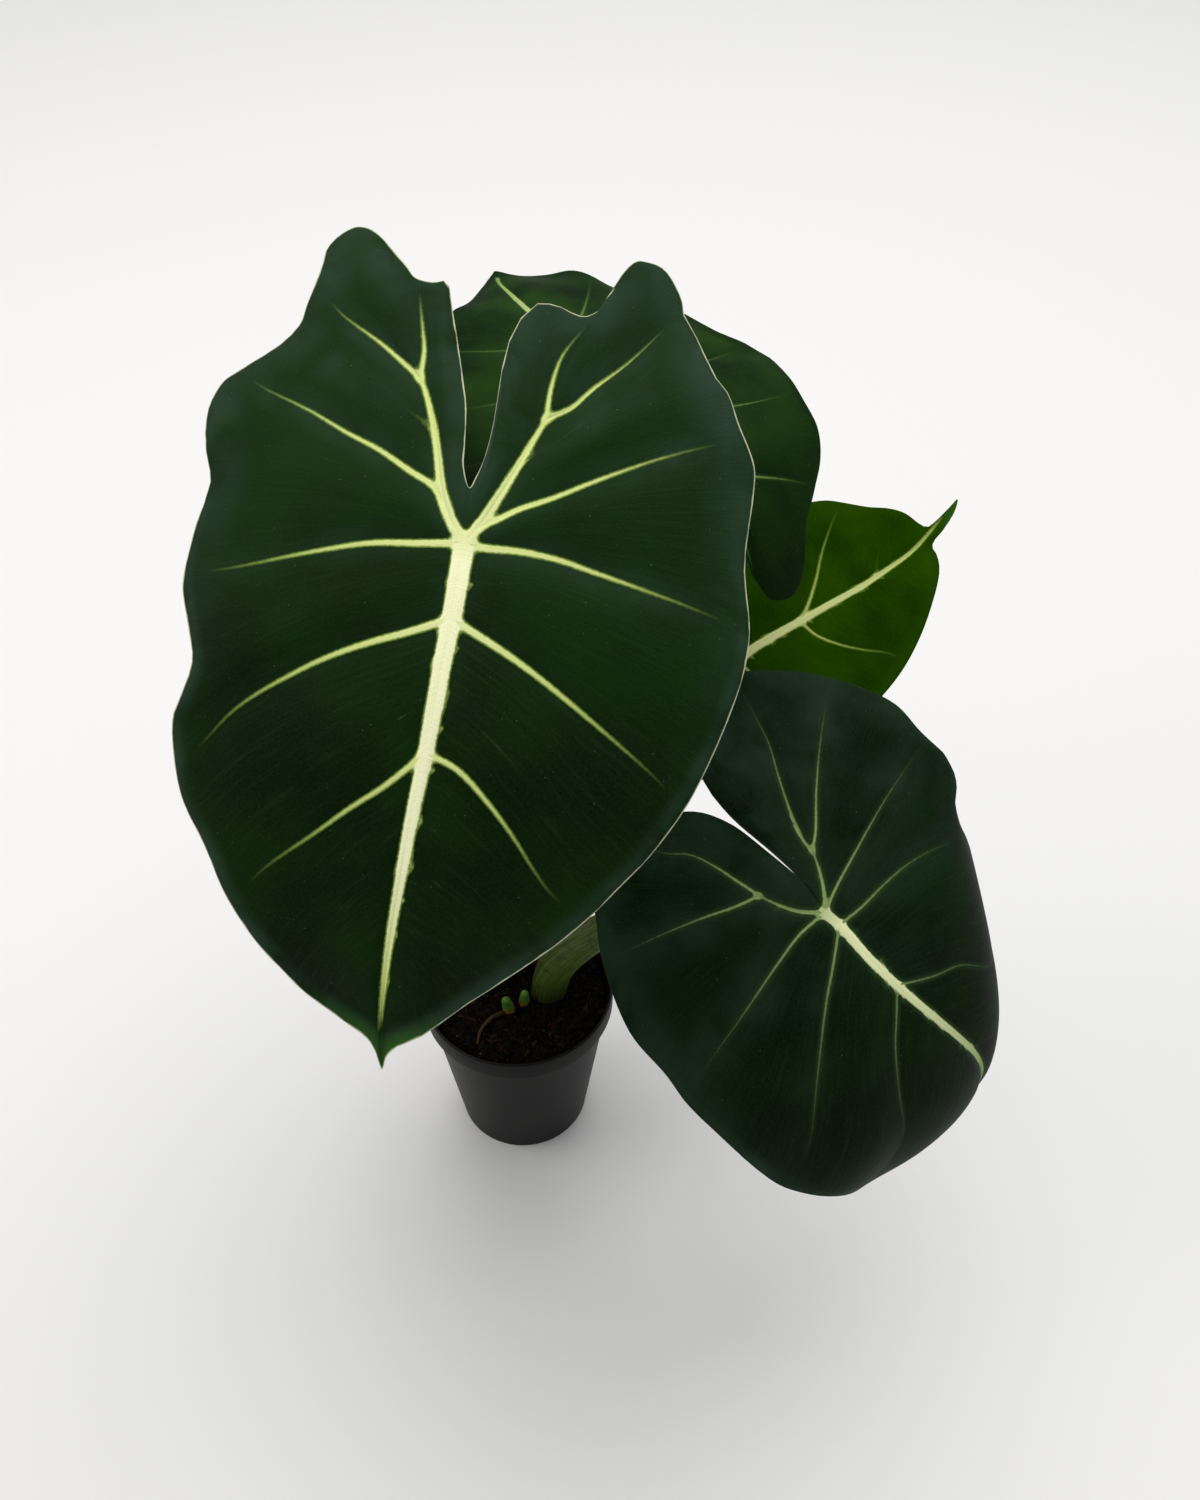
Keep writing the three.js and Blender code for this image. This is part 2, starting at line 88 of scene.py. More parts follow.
def addNode(tree, kind, inputs=(), stops=(), **settings):
    # One node with its settings and links. An input is a value, a hex colour or another node's output.
    node = tree.nodes.new(kind)
    for name, value in settings.items():
        setattr(node, name, value)
    for key, value in dict(inputs).items():
        named = [socket for socket in node.inputs if socket.identifier == key]
        socket = named[0] if named else node.inputs[key]
        if isinstance(value, bpy.types.NodeSocket):
            tree.links.new(value, socket)
        elif isinstance(value, str) and value.startswith("#"):
            socket.default_value = linearColour(value)
        else:
            socket.default_value = value
    for number, (place, colour) in enumerate(stops):
        elements = node.color_ramp.elements
        element = elements[number] if number < len(elements) else elements.new(place)
        element.position = place
        element.color = linearColour(colour)
    return node


def outputOf(tree, kind, inputs=(), **settings):
    # A new node's first output
    return addNode(tree, kind, inputs, **settings).outputs[0]


def maths(tree, operation, *values, **settings):
    return outputOf(tree, "ShaderNodeMath", enumerate(values), operation=operation, **settings)


def times(tree, one, other):
    return maths(tree, "MULTIPLY", one, other)


def scaled(tree, vector, by):
    return outputOf(tree, "ShaderNodeVectorMath", {0: vector, "Scale": by}, operation="SCALE")


def spread(tree, value, start, end, low=0, high=1, **settings):
    # Low at the start value and high at the end value, in a straight line between them
    inputs = {"Value": value, 1: start, 2: end, 3: low, 4: high}
    return outputOf(tree, "ShaderNodeMapRange", inputs, **settings)


def ease(tree, *values):
    # The same along a soft curve
    return spread(tree, *values, interpolation_type="SMOOTHSTEP")


def noise(tree, where, scale, detail, roughness=0.5, distortion=0):
    return outputOf(tree, "ShaderNodeTexNoise", {"Vector": where, "Scale": scale, "Detail": detail,
                                                 "Roughness": roughness, "Distortion": distortion})


def mixed(tree, share, under, over):
    # A colour laid over another
    return addNode(tree, "ShaderNodeMix", {"Factor_Float": share, "A_Color": under, "B_Color": over},
                   data_type="RGBA").outputs[2]


def bump(tree, height, strength, depth, under=None):
    # Relief from a pattern, its depth in millimetres, on top of other relief if there is any
    inputs = {"Height": height, "Strength": strength, "Distance": depth * millimetre}
    return outputOf(tree, "ShaderNodeBump", inputs if under is None else {**inputs, "Normal": under})


def valuesOf(tree, *names):
    # What a mesh's attributes hold
    return [addNode(tree, "ShaderNodeAttribute", attribute_name=name).outputs["Fac"] for name in names]


def placeIn(tree):
    return addNode(tree, "ShaderNodeTexCoord").outputs["Object"]


def newMaterial(name):
    material = bpy.data.materials.new(name)
    material.use_nodes = True
    material.node_tree.nodes.clear()
    return material, material.node_tree


def addShader(tree, colour, roughness, specular, relief=None, more=()):
    # The surface itself, with its constants set on the sockets
    inputs = {"Base Color": colour, "Roughness": roughness, "Specular IOR Level": specular, **dict(more)}
    if relief is not None:
        inputs["Normal"] = relief
    shader = outputOf(tree, "ShaderNodeBsdfPrincipled", inputs)
    addNode(tree, "ShaderNodeOutputMaterial", {"Surface": shader})


# Camera: it looks down at 45 degrees on the face of the front leaf
print("Camera")
view = {
    "place": (0.0328, -0.3578, 0.56873),
    "tilt": 45,       # degrees up from looking straight down
    "lens": 36,       # in millimetres, like the sensor, which spans the long side of the picture
    "sensor": 36,
    "nearest": 0.01,
}
cameraData = bpy.data.cameras.new("camera")
cameraData.lens = view["lens"]
cameraData.sensor_width = view["sensor"]
cameraData.clip_start = view["nearest"]
bpy.context.scene.camera = addObject("camera", cameraData, location=view["place"],
                                     rotation_euler=(math.radians(view["tilt"]), 0, 0))


# Leaves. The petiole joins at (0, 0), y runs to the tip and x to the right, seen from above. Outlines
# run from the notch to the tip. Veins hold the points they pass through, from their foot on a rib to
# where they fade. Ends are the places on the margin that they head for. Petioles stand at their base,
# pass the points of their route and run straight over the last stretch, arrive. Radii are those of a
# petiole's foot, of its closed sheath and of its end.
veinNames = ["inner", "lobe", "outer", "first", "second", "third", "fourth", "fifth"]
frontLeaf = {
    "attach": (-2, -48, 334),    # where the petiole and the blade meet in the plant
    "turns": (-102, 33, 0),    # azimuth, droop and twist, in degrees
    "tipBend": 38, "lobeBend": 14, "wave": 1.6, "waves": 11, "tipCurl": 3.2, "quilt": 2.2,
    "notch": (1.8, -15.3), "tip": (5, 142.5),
    "midrib": [(0, 0), (-0.4, 15), (-0.1, 30), (0.3, 44), (1, 57), (2.3, 71), (3.7, 89), (5.3, 107),
        (7, 134)],
    "midribFeet": (0.15, 0.41, 0.72),
    "midribWidth": (2.9, 0.05, 0.62),    # half widths at the joint and the tip, and how fast it thins
    "costaWidth": (1.7, 0.62, 1), "veinWidth": (1.12, 0.06, 1.05),
    "thinner": {"inner": 0.7, "outer": 0.7, "first": 0.9, "fourth": 0.8},    # shares of a vein's width
    "right": {
        "bend": (14, 14),
        "start": 0.2,
        "outline": [(4, -20), (5.1, -26.7), (7.2, -37.7), (10.1, -46.1), (14.3, -57.6), (19, -70),
            (22.6, -78.2), (25.9, -76.6), (30.8, -76.9), (34, -80.3), (40.6, -87.3), (44.1, -91.4),
            (47.6, -95.2), (51, -97.6), (54.6, -97.6), (57.9, -93.9), (60.3, -87.2), (59.9, -80.5),
            (61, -67.7), (61.9, -61.6), (67.1, -55.2), (77.4, -47.4), (81.1, -43.5), (82.8, -36),
            (81.8, -28.1), (79.6, -20.6), (76.4, -13.3), (76, -9.7), (78, 1), (78.3, 8.3), (77.8, 18.7),
            (75.1, 25.4), (69.6, 38.2), (69.3, 41.5), (71.2, 48.4), (73.9, 55.5), (74.3, 59), (73.2, 65.5),
            (68.6, 78.2), (59.7, 90), (52.2, 102.1), (42.1, 113.9), (36, 119.7), (28.9, 125.3),
            (18.9, 130.4), (10.3, 134.8), (7.6, 137.4)],
        "costa": [(4.6, -5.4), (8.7, -13.3), (12.2, -24), (15.9, -33.8), (19.7, -41.7), (22, -45.5)],
        "ends": [(30, -76.5), (54, -100), (60.6, -70), (83, -44), (79.2, 16), (72.5, 68), (50, 104.5),
            (26, 126)],
        "veins": {
            "inner": [(22.8, -54), (24.6, -60), (27.5, -69)],
            "outer": [(28.5, -50.3), (36, -55.7), (48, -63.3), (54.5, -68.3)],
            "first": [(10.7, -14), (18.5, -18), (28, -23.1), (39, -27.7), (50.4, -33.3), (65, -39.5),
                (74, -43.7)],
            "second": [(13, 1.6), (25.3, 3), (43.8, 7.8), (63, 13.2)],
            "third": [(11.6, 25.6), (20, 29), (28.4, 33), (37, 38), (54.4, 50.7), (66.8, 65)],
            "fourth": [(10.8, 65.2), (19, 72), (27.5, 79.8), (42.7, 93.7)],
        },
    },
    "left": {
        "bend": (14, 14),
        "start": 0.14,
        "outline": [(1, -19), (0.1, -23.9), (-0.5, -33), (-0.1, -44.4), (0.2, -54.7), (-1.1, -64),
            (-4.8, -71.5), (-9.8, -72.7), (-17.3, -71.1), (-21.2, -74.1), (-24, -78.5), (-24.9, -84.3),
            (-28.4, -89.8), (-31.3, -90.2), (-36.2, -89.4), (-39.9, -86), (-42.6, -81.8), (-44, -77.6),
            (-45, -75.6), (-49.1, -69), (-56.5, -57), (-60, -53.4), (-64.1, -45.6), (-70, -34.9),
            (-71, -28.1), (-71.7, -8), (-76, 12.1), (-75.5, 27), (-68, 56), (-60, 72), (-52.8, 82.2),
            (-45.2, 92.5), (-37.2, 101.6), (-26.1, 112.2), (-14.6, 122.5), (-5.6, 130.3), (0.6, 133.8),
            (3.4, 137.5)],
        "costa": [(-3.6, -6.5), (-6.6, -14), (-9.3, -21.5), (-12, -29.9), (-14.4, -37.4)],
        "ends": [(-19.5, -72.5), (-31, -90), (-44, -76.5), (-67.8, -41), (-75, 10), (-66, 60), (-45, 93),
            (-26, 112.3)],
        "veins": {
            "inner": [(-13.8, -46), (-14.5, -56), (-16.2, -61.3), (-18.3, -66.5)],
            "outer": [(-20.6, -42), (-24.4, -47.6), (-32.5, -58), (-42, -74.3)],
            "first": [(-7.8, -7.8), (-12, -10.9), (-20.3, -15.4), (-30, -21.7), (-46.4, -31.7),
                (-62.7, -39.7)],
            "second": [(-5.2, 0.6), (-14, 0.2), (-25, 0.9), (-34.5, 2.7), (-54.5, 6.3), (-71, 9.6)],
            "third": [(-8.5, 23.7), (-17, 27.6), (-26.4, 32.6), (-45, 44), (-59, 53.5)],
            "fourth": [(-7.8, 58), (-16.5, 65), (-23.4, 72), (-35.3, 86.2)],
        },
    },
    "faint": [[(1.2, 44.5), (17.3, 50.6), (33.3, 61.7), (47.6, 72.1)],
        [(0, 42), (-12, 47), (-30, 60), (-44, 73)], [(3, 83), (14, 92), (27, 105)],
        [(3, 80), (-9, 90), (-20, 103)], [(14, -30), (30, -38), (48, -47)],
        [(-10, -24), (-22, -34), (-38, -48)]],
    "stubs": 1, "seed": 3,
    "base": (-9, 9),
    "route": [(-10, 7, 110), (-11, -6, 200)],
    "arrive": 34, "radii": (6.2, 4.6, 3.4),
}
lowLeaf = {
    "attach": (100.5, -73, 214.5),
    "turns": (-33, 24, -24),
    "tipBend": 84, "lobeBend": 15, "wave": 1.6, "waves": 9, "tipCurl": 0, "quilt": 2,
    "notch": (-3.4, -9.6), "tip": (-1, 128),
    "midrib": [(0, 0), (0.1, 7.6), (1.5, 18.4), (1.5, 32.8), (0, 48.8), (-2.4, 66), (-4.3, 81), (-4.6, 99),
        (-2, 114)],
    "midribFeet": (0.05, 0.28, 0.62),
    "midribWidth": (1.75, 0.15, 0.5),
    "costaWidth": (0.85, 0.4, 1), "veinWidth": (0.6, 0.06, 0.8),
    "thinner": {"fourth": 0.8},
    "right": {
        "bend": (18, 30),
        "start": 0.4,
        "outline": [(-3.2, -24), (-3, -39), (0, -49.5), (6, -56), (20, -64), (34, -63), (46, -52),
            (54, -43), (65, -23), (68, -6), (70.5, 4), (71.5, 22), (71.5, 45), (70, 60), (65.8, 72),
            (60, 83.5), (54, 96), (48, 108), (38, 119), (20, 127), (8, 129)],
        "costa": [(4.9, -6.6), (7.5, -13.4), (8.7, -18.5)],
        "ends": [(18, -62), (34, -63), (54, -43), (66, -18), (70, 3), (68, 63), (41, 101), (26, 112)],
        "veins": {
            "inner": [(9.5, -26.8), (10.3, -35), (12.1, -42.4), (17, -50)],
            "outer": [(15.8, -21.9), (24, -27), (36.8, -34.2), (45, -38.5)],
            "second": [(9.8, -1.8), (20.2, -1.5), (41.8, 0.3), (60.4, 1.7)],
            "third": [(10.1, 11.6), (19.8, 17.2), (31.1, 25.5), (42.1, 35.4), (55, 49.7)],
            "fourth": [(8, 38.3), (15.2, 45.8), (23.8, 60.5), (31.7, 82.6)],
        },
    },
    "left": {
        "bend": (18, 128),
        "start": 0.2,
        "outline": [(-4.6, -24.6), (-5.3, -40.7), (-8.1, -52.6), (-12, -58), (-28, -64), (-46, -69),
            (-56, -59), (-63, -47), (-71, -24), (-69.5, -11), (-69, 0.5), (-67.6, 8.5), (-64, 11.6),
            (-60, 14), (-58, 22), (-59.5, 32), (-60, 50), (-50, 72), (-38, 90), (-22, 107), (-9, 119)],
        "costa": [(-3.8, -3), (-7.5, -7), (-11, -11.8), (-12.6, -14.5)],
        "ends": [(-46, -69), (-54, -62), (-64, -44), (-69, -18), (-68.5, -8), (-60.5, 28), (-47, 75),
            (-26, 98)],
        "veins": {
            "inner": [(-13.3, -18.5), (-16.7, -25), (-24.6, -36.5), (-31.7, -45.7), (-37, -55.4),
                (-42.5, -65.8)],
            "outer": [(-17.7, -17.1), (-28, -24.5), (-38.2, -31), (-48.6, -36.9), (-56, -40.6),
                (-60.5, -42.2)],
            "second": [(-9, -2.2), (-16.5, -3.4), (-29.6, -5.3), (-42.8, -6.8), (-55, -7.4)],
            "third": [(-9, 7.7), (-19.6, 9.1), (-29.6, 11.5), (-37.8, 15.1), (-46.5, 20.4)],
            "fourth": [(-9.7, 41.4), (-18.4, 48.1), (-33.8, 71.4)],
        },
    },
    "faint": [[(-14.5, -21), (-16.5, -27), (-16.9, -36), (-18.6, -46)],
        [(1.4, 28), (14, 36), (30, 48), (40, 62)], [(1.2, 24), (-12, 28), (-28, 36), (-42, 48)],
        [(-4, 74), (-14, 84), (-22, 95)], [(-3.4, 72), (8, 82), (18, 96)]],
    "stubs": 0.3, "seed": 5,
    "base": (12, 2),
    "route": [(16, 0, 92), (34, -8, 124), (68, -28, 172)],
    "arrive": 26, "radii": (7.6, 6.9, 3.2),
}
backLeaf = {
    "attach": (45, 24, 327),
    "turns": (119, -8, -4),
    "tipBend": 20, "lobeBend": 72, "wave": 1.2, "waves": 9, "tipCurl": 0.6, "quilt": 1.6,
    "notch": (0, -11), "tip": (4, 103),
    "midrib": [(0, 0), (-1.5, 25), (-2.6, 50), (-3, 66), (-1.5, 83), (0.4, 94), (2.4, 99)],
    "midribFeet": (0.17, 0.38, 0.66),
    "midribWidth": (2.0, 0.7, 0.7),
    "costaWidth": (1.4, 0.8, 1), "veinWidth": (0.7, 0.06, 0.7),
    "thinner": {},
    "right": {
        "bend": (5, 12),
        "start": 0.35,
        "outline": [(1, -27), (5, -42), (13, -50), (17, -60), (23, -69), (30, -69), (34, -61), (37, -49),
            (44, -38.5), (49.2, -30.5), (52.4, -20.7), (52.6, -9.5), (54.5, 3), (56.1, 14.5), (55.6, 20),
            (53.3, 24.1), (46.3, 32.5), (44, 39), (43, 52), (39, 68), (34.8, 76.8), (32.2, 83),
            (29.2, 88.7), (25.8, 93), (20.7, 95.6), (13.3, 99), (8, 101.3)],
        "costa": [(2.5, -7), (5.5, -16), (11, -28)],
        "ends": [(17, -60), (26, -69), (45, -38), (51, -28), (54, -6), (56, 24), (33, 91), (24, 101)],
        "veins": {
            "inner": [],
            "outer": [(19, -29), (33, -33)],
            "second": [],
            "third": [],
            "fourth": [(4, 49), (11.8, 57.4), (28.1, 81.7)],
        },
    },
    "left": {
        "bend": (12, 12),
        "start": 0.35,
        "outline": [(-1, -27), (-4, -42), (-11, -55), (-20, -66), (-29, -69), (-38, -62), (-44, -50),
            (-53, -37), (-60, -18), (-63, 2), (-61, 22), (-54, 43), (-41, 61), (-31, 72), (-23.8, 77.8),
            (-19, 81), (-14.2, 85.7), (-8.1, 92), (-2.7, 96.8), (1, 100)],
        "costa": [(-2.5, -7), (-5.5, -16), (-11, -28)],
        "ends": [(-20, -66), (-32, -67), (-44, -50), (-56, -30), (-63, 2), (-58, 30), (-41, 60), (-13, 89)],
        "veins": {"inner": [], "outer": [], "second": [], "third": [], "fourth": []},
    },
    "faint": [[(12, -36), (17, -46.7), (29.6, -56.3)], [(-2, 32), (-14, 38), (-22.9, 44), (-34, 53.7)],
        [(-20, 16), (-36.8, 22.7), (-44.2, 27.3)], [(-2.5, 74), (-12, 82), (-22, 90)]],
    "stubs": 0.2, "seed": 7,
    "base": (2, 21),
    "route": [(2, 23, 110), (12, 28, 210)],
    "arrive": 30, "radii": (5.6, 4.2, 3),
}
youngLeaf = {
    "attach": (64, -3, 238),
    "turns": (43, -5, -20),
    "tipBend": 9, "lobeBend": 12, "wave": 1, "waves": 9, "tipCurl": 1.0, "quilt": 1.4,
    "notch": (0, -10), "tip": (-3, 143.5),
    "midrib": [(0, 0), (-1.2, 14), (-1.8, 28), (0, 49), (1.2, 62), (2.9, 80), (3.3, 94), (3.2, 108),
        (1, 122), (-1, 132)],
    "midribFeet": (0.16, 0.38, 0.7),
    "midribWidth": (1.9, 0.3, 0.7),
    "costaWidth": (1.3, 0.8, 1), "veinWidth": (0.65, 0.06, 0.7),
    "thinner": {},
    "right": {
        "bend": (12, 12),
        "start": 0.35,
        "outline": [(1, -20), (2.5, -27), (6, -32), (11, -34), (16, -32.5), (19, -27), (22, -19), (27, -10),
            (32, 0), (36.5, 12), (38.5, 26), (38.5, 42), (37.4, 54), (34.4, 69.6), (29.4, 84.5),
            (22.8, 98.2), (14.9, 111.1), (9.5, 116), (6.3, 118), (4.4, 121.5), (3.2, 128), (0.2, 138)],
        "costa": [(2, -5), (4.5, -10), (8, -17)],
        "ends": [(6, -32), (12, -34), (19, -27), (23, -17), (30, -4), (40, 30), (32, 73), (21, 99)],
        "veins": {
            "inner": [],
            "outer": [],
            "second": [],
            "third": [],
            "fourth": [(7.2, 51), (14.6, 55.5), (21.1, 61.9), (27, 69.3)],
        },
    },
    "left": {
        "bend": (12, 12),
        "start": 0.35,
        "outline": [(-1, -22), (-3, -34), (-8, -44), (-15, -51), (-23, -53), (-29, -49), (-33, -41),
            (-38, -29), (-41, -12), (-41, 6), (-41, 28), (-40, 52), (-39, 76), (-35, 92), (-31.6, 98.9),
            (-28.1, 103.9), (-24.2, 108.6), (-19.8, 112.6), (-15.3, 116.8), (-9.9, 119.9), (-4, 121.4),
            (-1.4, 124), (-1.5, 131), (-2.3, 138)],
        "costa": [(-2, -6), (-4.5, -14), (-9, -25)],
        "ends": [(-8, -44), (-16, -51), (-29, -49), (-38, -29), (-41, 0), (-40.5, 42), (-28, 104),
            (-13, 117)],
        "veins": {
            "inner": [],
            "outer": [],
            "second": [],
            "third": [],
            "fourth": [(-2.6, 57), (-8.5, 67.9), (-15, 78.1), (-20.7, 88.7)],
        },
    },
    "faint": [[(2.6, 78), (10, 86), (19, 97)], [(2.8, 88), (-4, 97), (-12, 110)],
        [(-1, 36), (10, 38), (24, 46)]],
    "stubs": 0.5, "seed": 11,
    "base": (15, 16),
    "route": [(18, 17, 100), (36, 13, 160)],
    "arrive": 24, "radii": (5, 3.8, 2.6),
}
leaves = {"front": frontLeaf, "low": lowLeaf, "back": backLeaf, "young": youngLeaf}


# The blade sheet: how finely it is divided, and how its surface is modelled. Lengths in millimetres.
sheet = {
    "across": [0.01, 0.024, 0.045, 0.075, 0.115, 0.165, 0.225, 0.3, 0.4],   # shares from vein to middle
    "rows": 46,              # from the ribs to the margin
    "rowGrowth": 1.35,       # above 1, so rows lie closer together beside the ribs
    "bows": [0, 0, 0.03, 0.04, 0.05, 0.06, 0.06, 0.05],   # arch of veins without points, by length
    "thickness": 0.8,
    "marginThickness": 0.35,
    "marginTaper": 3,        # how far from the margin the blade begins to thin
    "quiltShape": (1.15, 0.8),   # how the swelling between veins rises across and along them
    "curlPlace": (22, 12, 5),    # how far from the tip the curl starts, over what length, how wide
    "curlShape": 1.5,
    "waveRise": 3,           # how fast the waves of the margin grow toward it
    "ridge": 0.3,            # height of a rib above the face, for each millimetre of its half width
    "ridgeLimit": 2,         # half width past which a rib gets no higher
    "narrowest": 0.1,        # half width under which a rib is no longer round on top
    "groove": 0.3,           # depth of the dip beside a rib
    "grooveReach": 1.8,
    "ribBelow": 0.75,        # how far a rib stands out below, for each millimetre of its half width
    "ribBelowReach": (1.1, 0.5),   # how far that swelling spreads, by half width and besides
    "jointSwell": 5,         # how far the blade thickens downward where its petiole joins
    "jointReach": 5.5,
    "fillet": 1.6,           # rounding where a vein leaves a rib
    "faintWidth": (0.2, 0.05),   # half widths of the veins that only just show
    "fadeBefore": 0.03,      # share of a vein that has faded before it reaches the margin
    "veinSteps": {"midrib": 50, "costa": 30, "vein": 40, "faint": 24},
}
# Tiny pointed side veins along the ribs
stub = {
    "start": 9,              # how far from the joint the first one stands
    "every": 8,
    "everyRange": (0.6, 1.5),
    "clear": 0.06,           # share of the gap between two veins that stays free beside each
    "length": (0.5, 1.5),
    "width": 0.4,
    "widthRange": (0.3, 1.1),
    "thinning": 0.4,         # how much thinner they are at the end of a rib
    "point": 0.02,           # half width at their ends
    "steps": 5,
}
rowLevels = np.linspace(0, 1, sheet["rows"]) ** sheet["rowGrowth"]
nowhere = 1e3                # a distance longer than any on a leaf
planeUnit = 100              # millimetres of the leaf's plane for one unit of its texture
mergeDigits = 3              # points that agree to a thousandth of a millimetre are one


def catmullRom(points, places, closed=False):
    # Curve through the points, weighed by the root of their distances. Place 2.5 is halfway between
    # the third and the fourth.
    points = np.asarray(points, float)
    places = np.asarray(places, float)
    if closed:
        start = np.floor(places).astype(int)
        a, b, c, d = [points[(start + step) % len(points)] for step in (-1, 0, 1, 2)]
    else:
        start = np.clip(np.floor(places).astype(int), 0, len(points) - 2)
        padded = np.vstack([2 * points[0] - points[1], points, 2 * points[-1] - points[-2]])
        a, b, c, d = [padded[start + step] for step in range(4)]
    gaps = [np.maximum(((q - p) ** 2).sum(1), tiny) ** 0.25 for p, q in ((a, b), (b, c), (c, d))]
    before, between, after = [gap[:, None] for gap in gaps]
    share = (places - start)[:, None]
    leaving = ((b - a) / before - (c - a) / (before + between) + (c - b) / between) * between
    arriving = ((c - b) / between - (d - b) / (between + after) + (d - c) / after) * between
    square = -3 * b + 3 * c - 2 * leaving - arriving
    cube = 2 * b - 2 * c + leaving + arriving
    return ((cube * share + square) * share + leaving) * share + b


def lengthsAlong(line):
    # How far along a line each of its points lies
    return np.concatenate([[0], np.cumsum(np.sqrt((np.diff(line, axis=0) ** 2).sum(1)))])


def evenly(line, shares):
    # Points at shares of a line's length
    lengths = lengthsAlong(line)
    return np.stack([np.interp(np.asarray(shares) * lengths[-1], lengths, column) for column in line.T], 1)


def smoothLine(points, count=80, fineness=4):
    # A dense even line through listed points
    dense = catmullRom(points, np.linspace(0, len(points) - 1, fineness * count))
    return evenly(dense, np.linspace(0, 1, count))


def fromPiece(flat, start, run):
    # How far points lie from a short straight piece of line, and the share of it that is nearest
    share = np.clip(((flat - start) @ run) / max(run @ run, tiny), 0, 1)
    return np.linalg.norm(flat - start - np.outer(share, run), axis=1), share


def taper(widths, shares, scale=1):
    # Half widths at shares of a rib, from those at its foot and its end and how fast it thins
    wide, narrow, fall = widths
    return (narrow + (wide - narrow) * (1 - shares) ** fall) * scale


def prepareLeaf(leaf):
    # The outline ring, the rib curves and the directions of a leaf. Side 1 is its right, side -1 its left.
    leaf[1], leaf[-1] = leaf["right"], leaf["left"]
    leaf["ring"] = [leaf["notch"], *leaf[1]["outline"], leaf["tip"], *leaf[-1]["outline"][::-1]]
    ring = np.array(leaf["ring"], float)
    leaf["backReach"] = -ring[:, 1].min()
    leaf["halfWidth"] = np.abs(ring[:, 0]).max()
    leaf["ribs"] = {"midrib": smoothLine(leaf["midrib"])}
    for side in (1, -1):
        leaf["ribs"][side] = smoothLine([(0, 0), *leaf[side]["costa"]])
        leaf[side]["places"] = outlinePlaces(leaf, side, leaf[side]["ends"])
    azimuth, droop, twist = [math.radians(angle) for angle in leaf["turns"]]
    forward = np.array([math.cos(droop) * math.cos(azimuth), math.cos(droop) * math.sin(azimuth),
                        -math.sin(droop)])
    level = np.array([math.sin(azimuth), -math.cos(azimuth), 0])
    right = level * math.cos(twist) + np.cross(level, forward) * math.sin(twist)
    leaf["axes"] = right, forward, np.cross(right, forward)


def bendPoints(leaf, flat, rise):
    # Bends flat points of a leaf: the tip and the lobes arch down, and so do both sides
    x, y = flat.T
    front = leaf["tip"][1]
    along = np.where(y >= 0, math.radians(leaf["tipBend"]) / front,
                     math.radians(leaf["lobeBend"]) / leaf["backReach"])
    share = np.clip(y / front, 0, 1)
    sides = [np.radians(a + (b - a) * share) for a, b in (leaf[1]["bend"], leaf[-1]["bend"])]
    across = np.where(x >= 0, *sides) / leaf["halfWidth"]
    height = rise - (1 - np.cos(across * x)) / across
    turn = along * y
    right, forward, up = leaf["axes"]
    return (np.array(leaf["attach"]) + np.outer(np.sin(across * x) / across, right)
            + np.outer(np.sin(turn) / along + height * np.sin(turn), forward)
            + np.outer(-(1 - np.cos(turn)) / along + height * np.cos(turn), up))


def veinRules(leaf, side):
    # The veins of one side from the notch to the tip: rib, foot on it, end on the outline, bow, name
    half = leaf[side]
    start, ends = half["start"], half["places"]
    feet = [1, 1, 1, start, 0, *leaf["midribFeet"]]
    rules = [(side, 0, 0, 0, "notch"), (side, start, start * ends[0], 0, "between")]
    for name, foot, end, bow in zip(veinNames, feet, ends, sheet["bows"]):
        rules.append(("midrib" if name in veinNames[5:] else side, foot, end, bow, name))
    return [*rules, ("midrib", 1, len(half["outline"]) + 1, 0, "tip")]


def outlinePoints(leaf, side, ends):
    places = np.asarray(ends, float) if side > 0 else len(leaf["ring"]) - np.asarray(ends, float)
    return catmullRom(leaf["ring"], places % len(leaf["ring"]), closed=True)


def outlinePlaces(leaf, side, targets, fineness=30):
    # Where on one side's outline the nearest points to the targets lie, counted from the notch
    count = len(leaf[side]["outline"]) + 1
    places = np.linspace(0, count, fineness * count + 1)
    line = outlinePoints(leaf, side, places)
    return [float(places[((line - np.array(target)) ** 2).sum(1).argmin()]) for target in targets]


def veinLine(leaf, side, rule, levels, count=60):
    # The flat line of a vein from its foot to the margin, at the given levels
    rib, foot, end, bow, name = rule
    first = evenly(leaf["ribs"][rib], [foot])[0]
    last = outlinePoints(leaf, side, [end])[0]
    passed = leaf[side]["veins"].get(name)
    if passed:
        return evenly(catmullRom([first, *passed, last], np.linspace(0, len(passed) + 1, count)), levels)
    chord = last - first
    arch = 4 * levels * (1 - levels) * bow * side
    return first + np.outer(levels, chord) + np.outer(arch, [chord[1], -chord[0]])


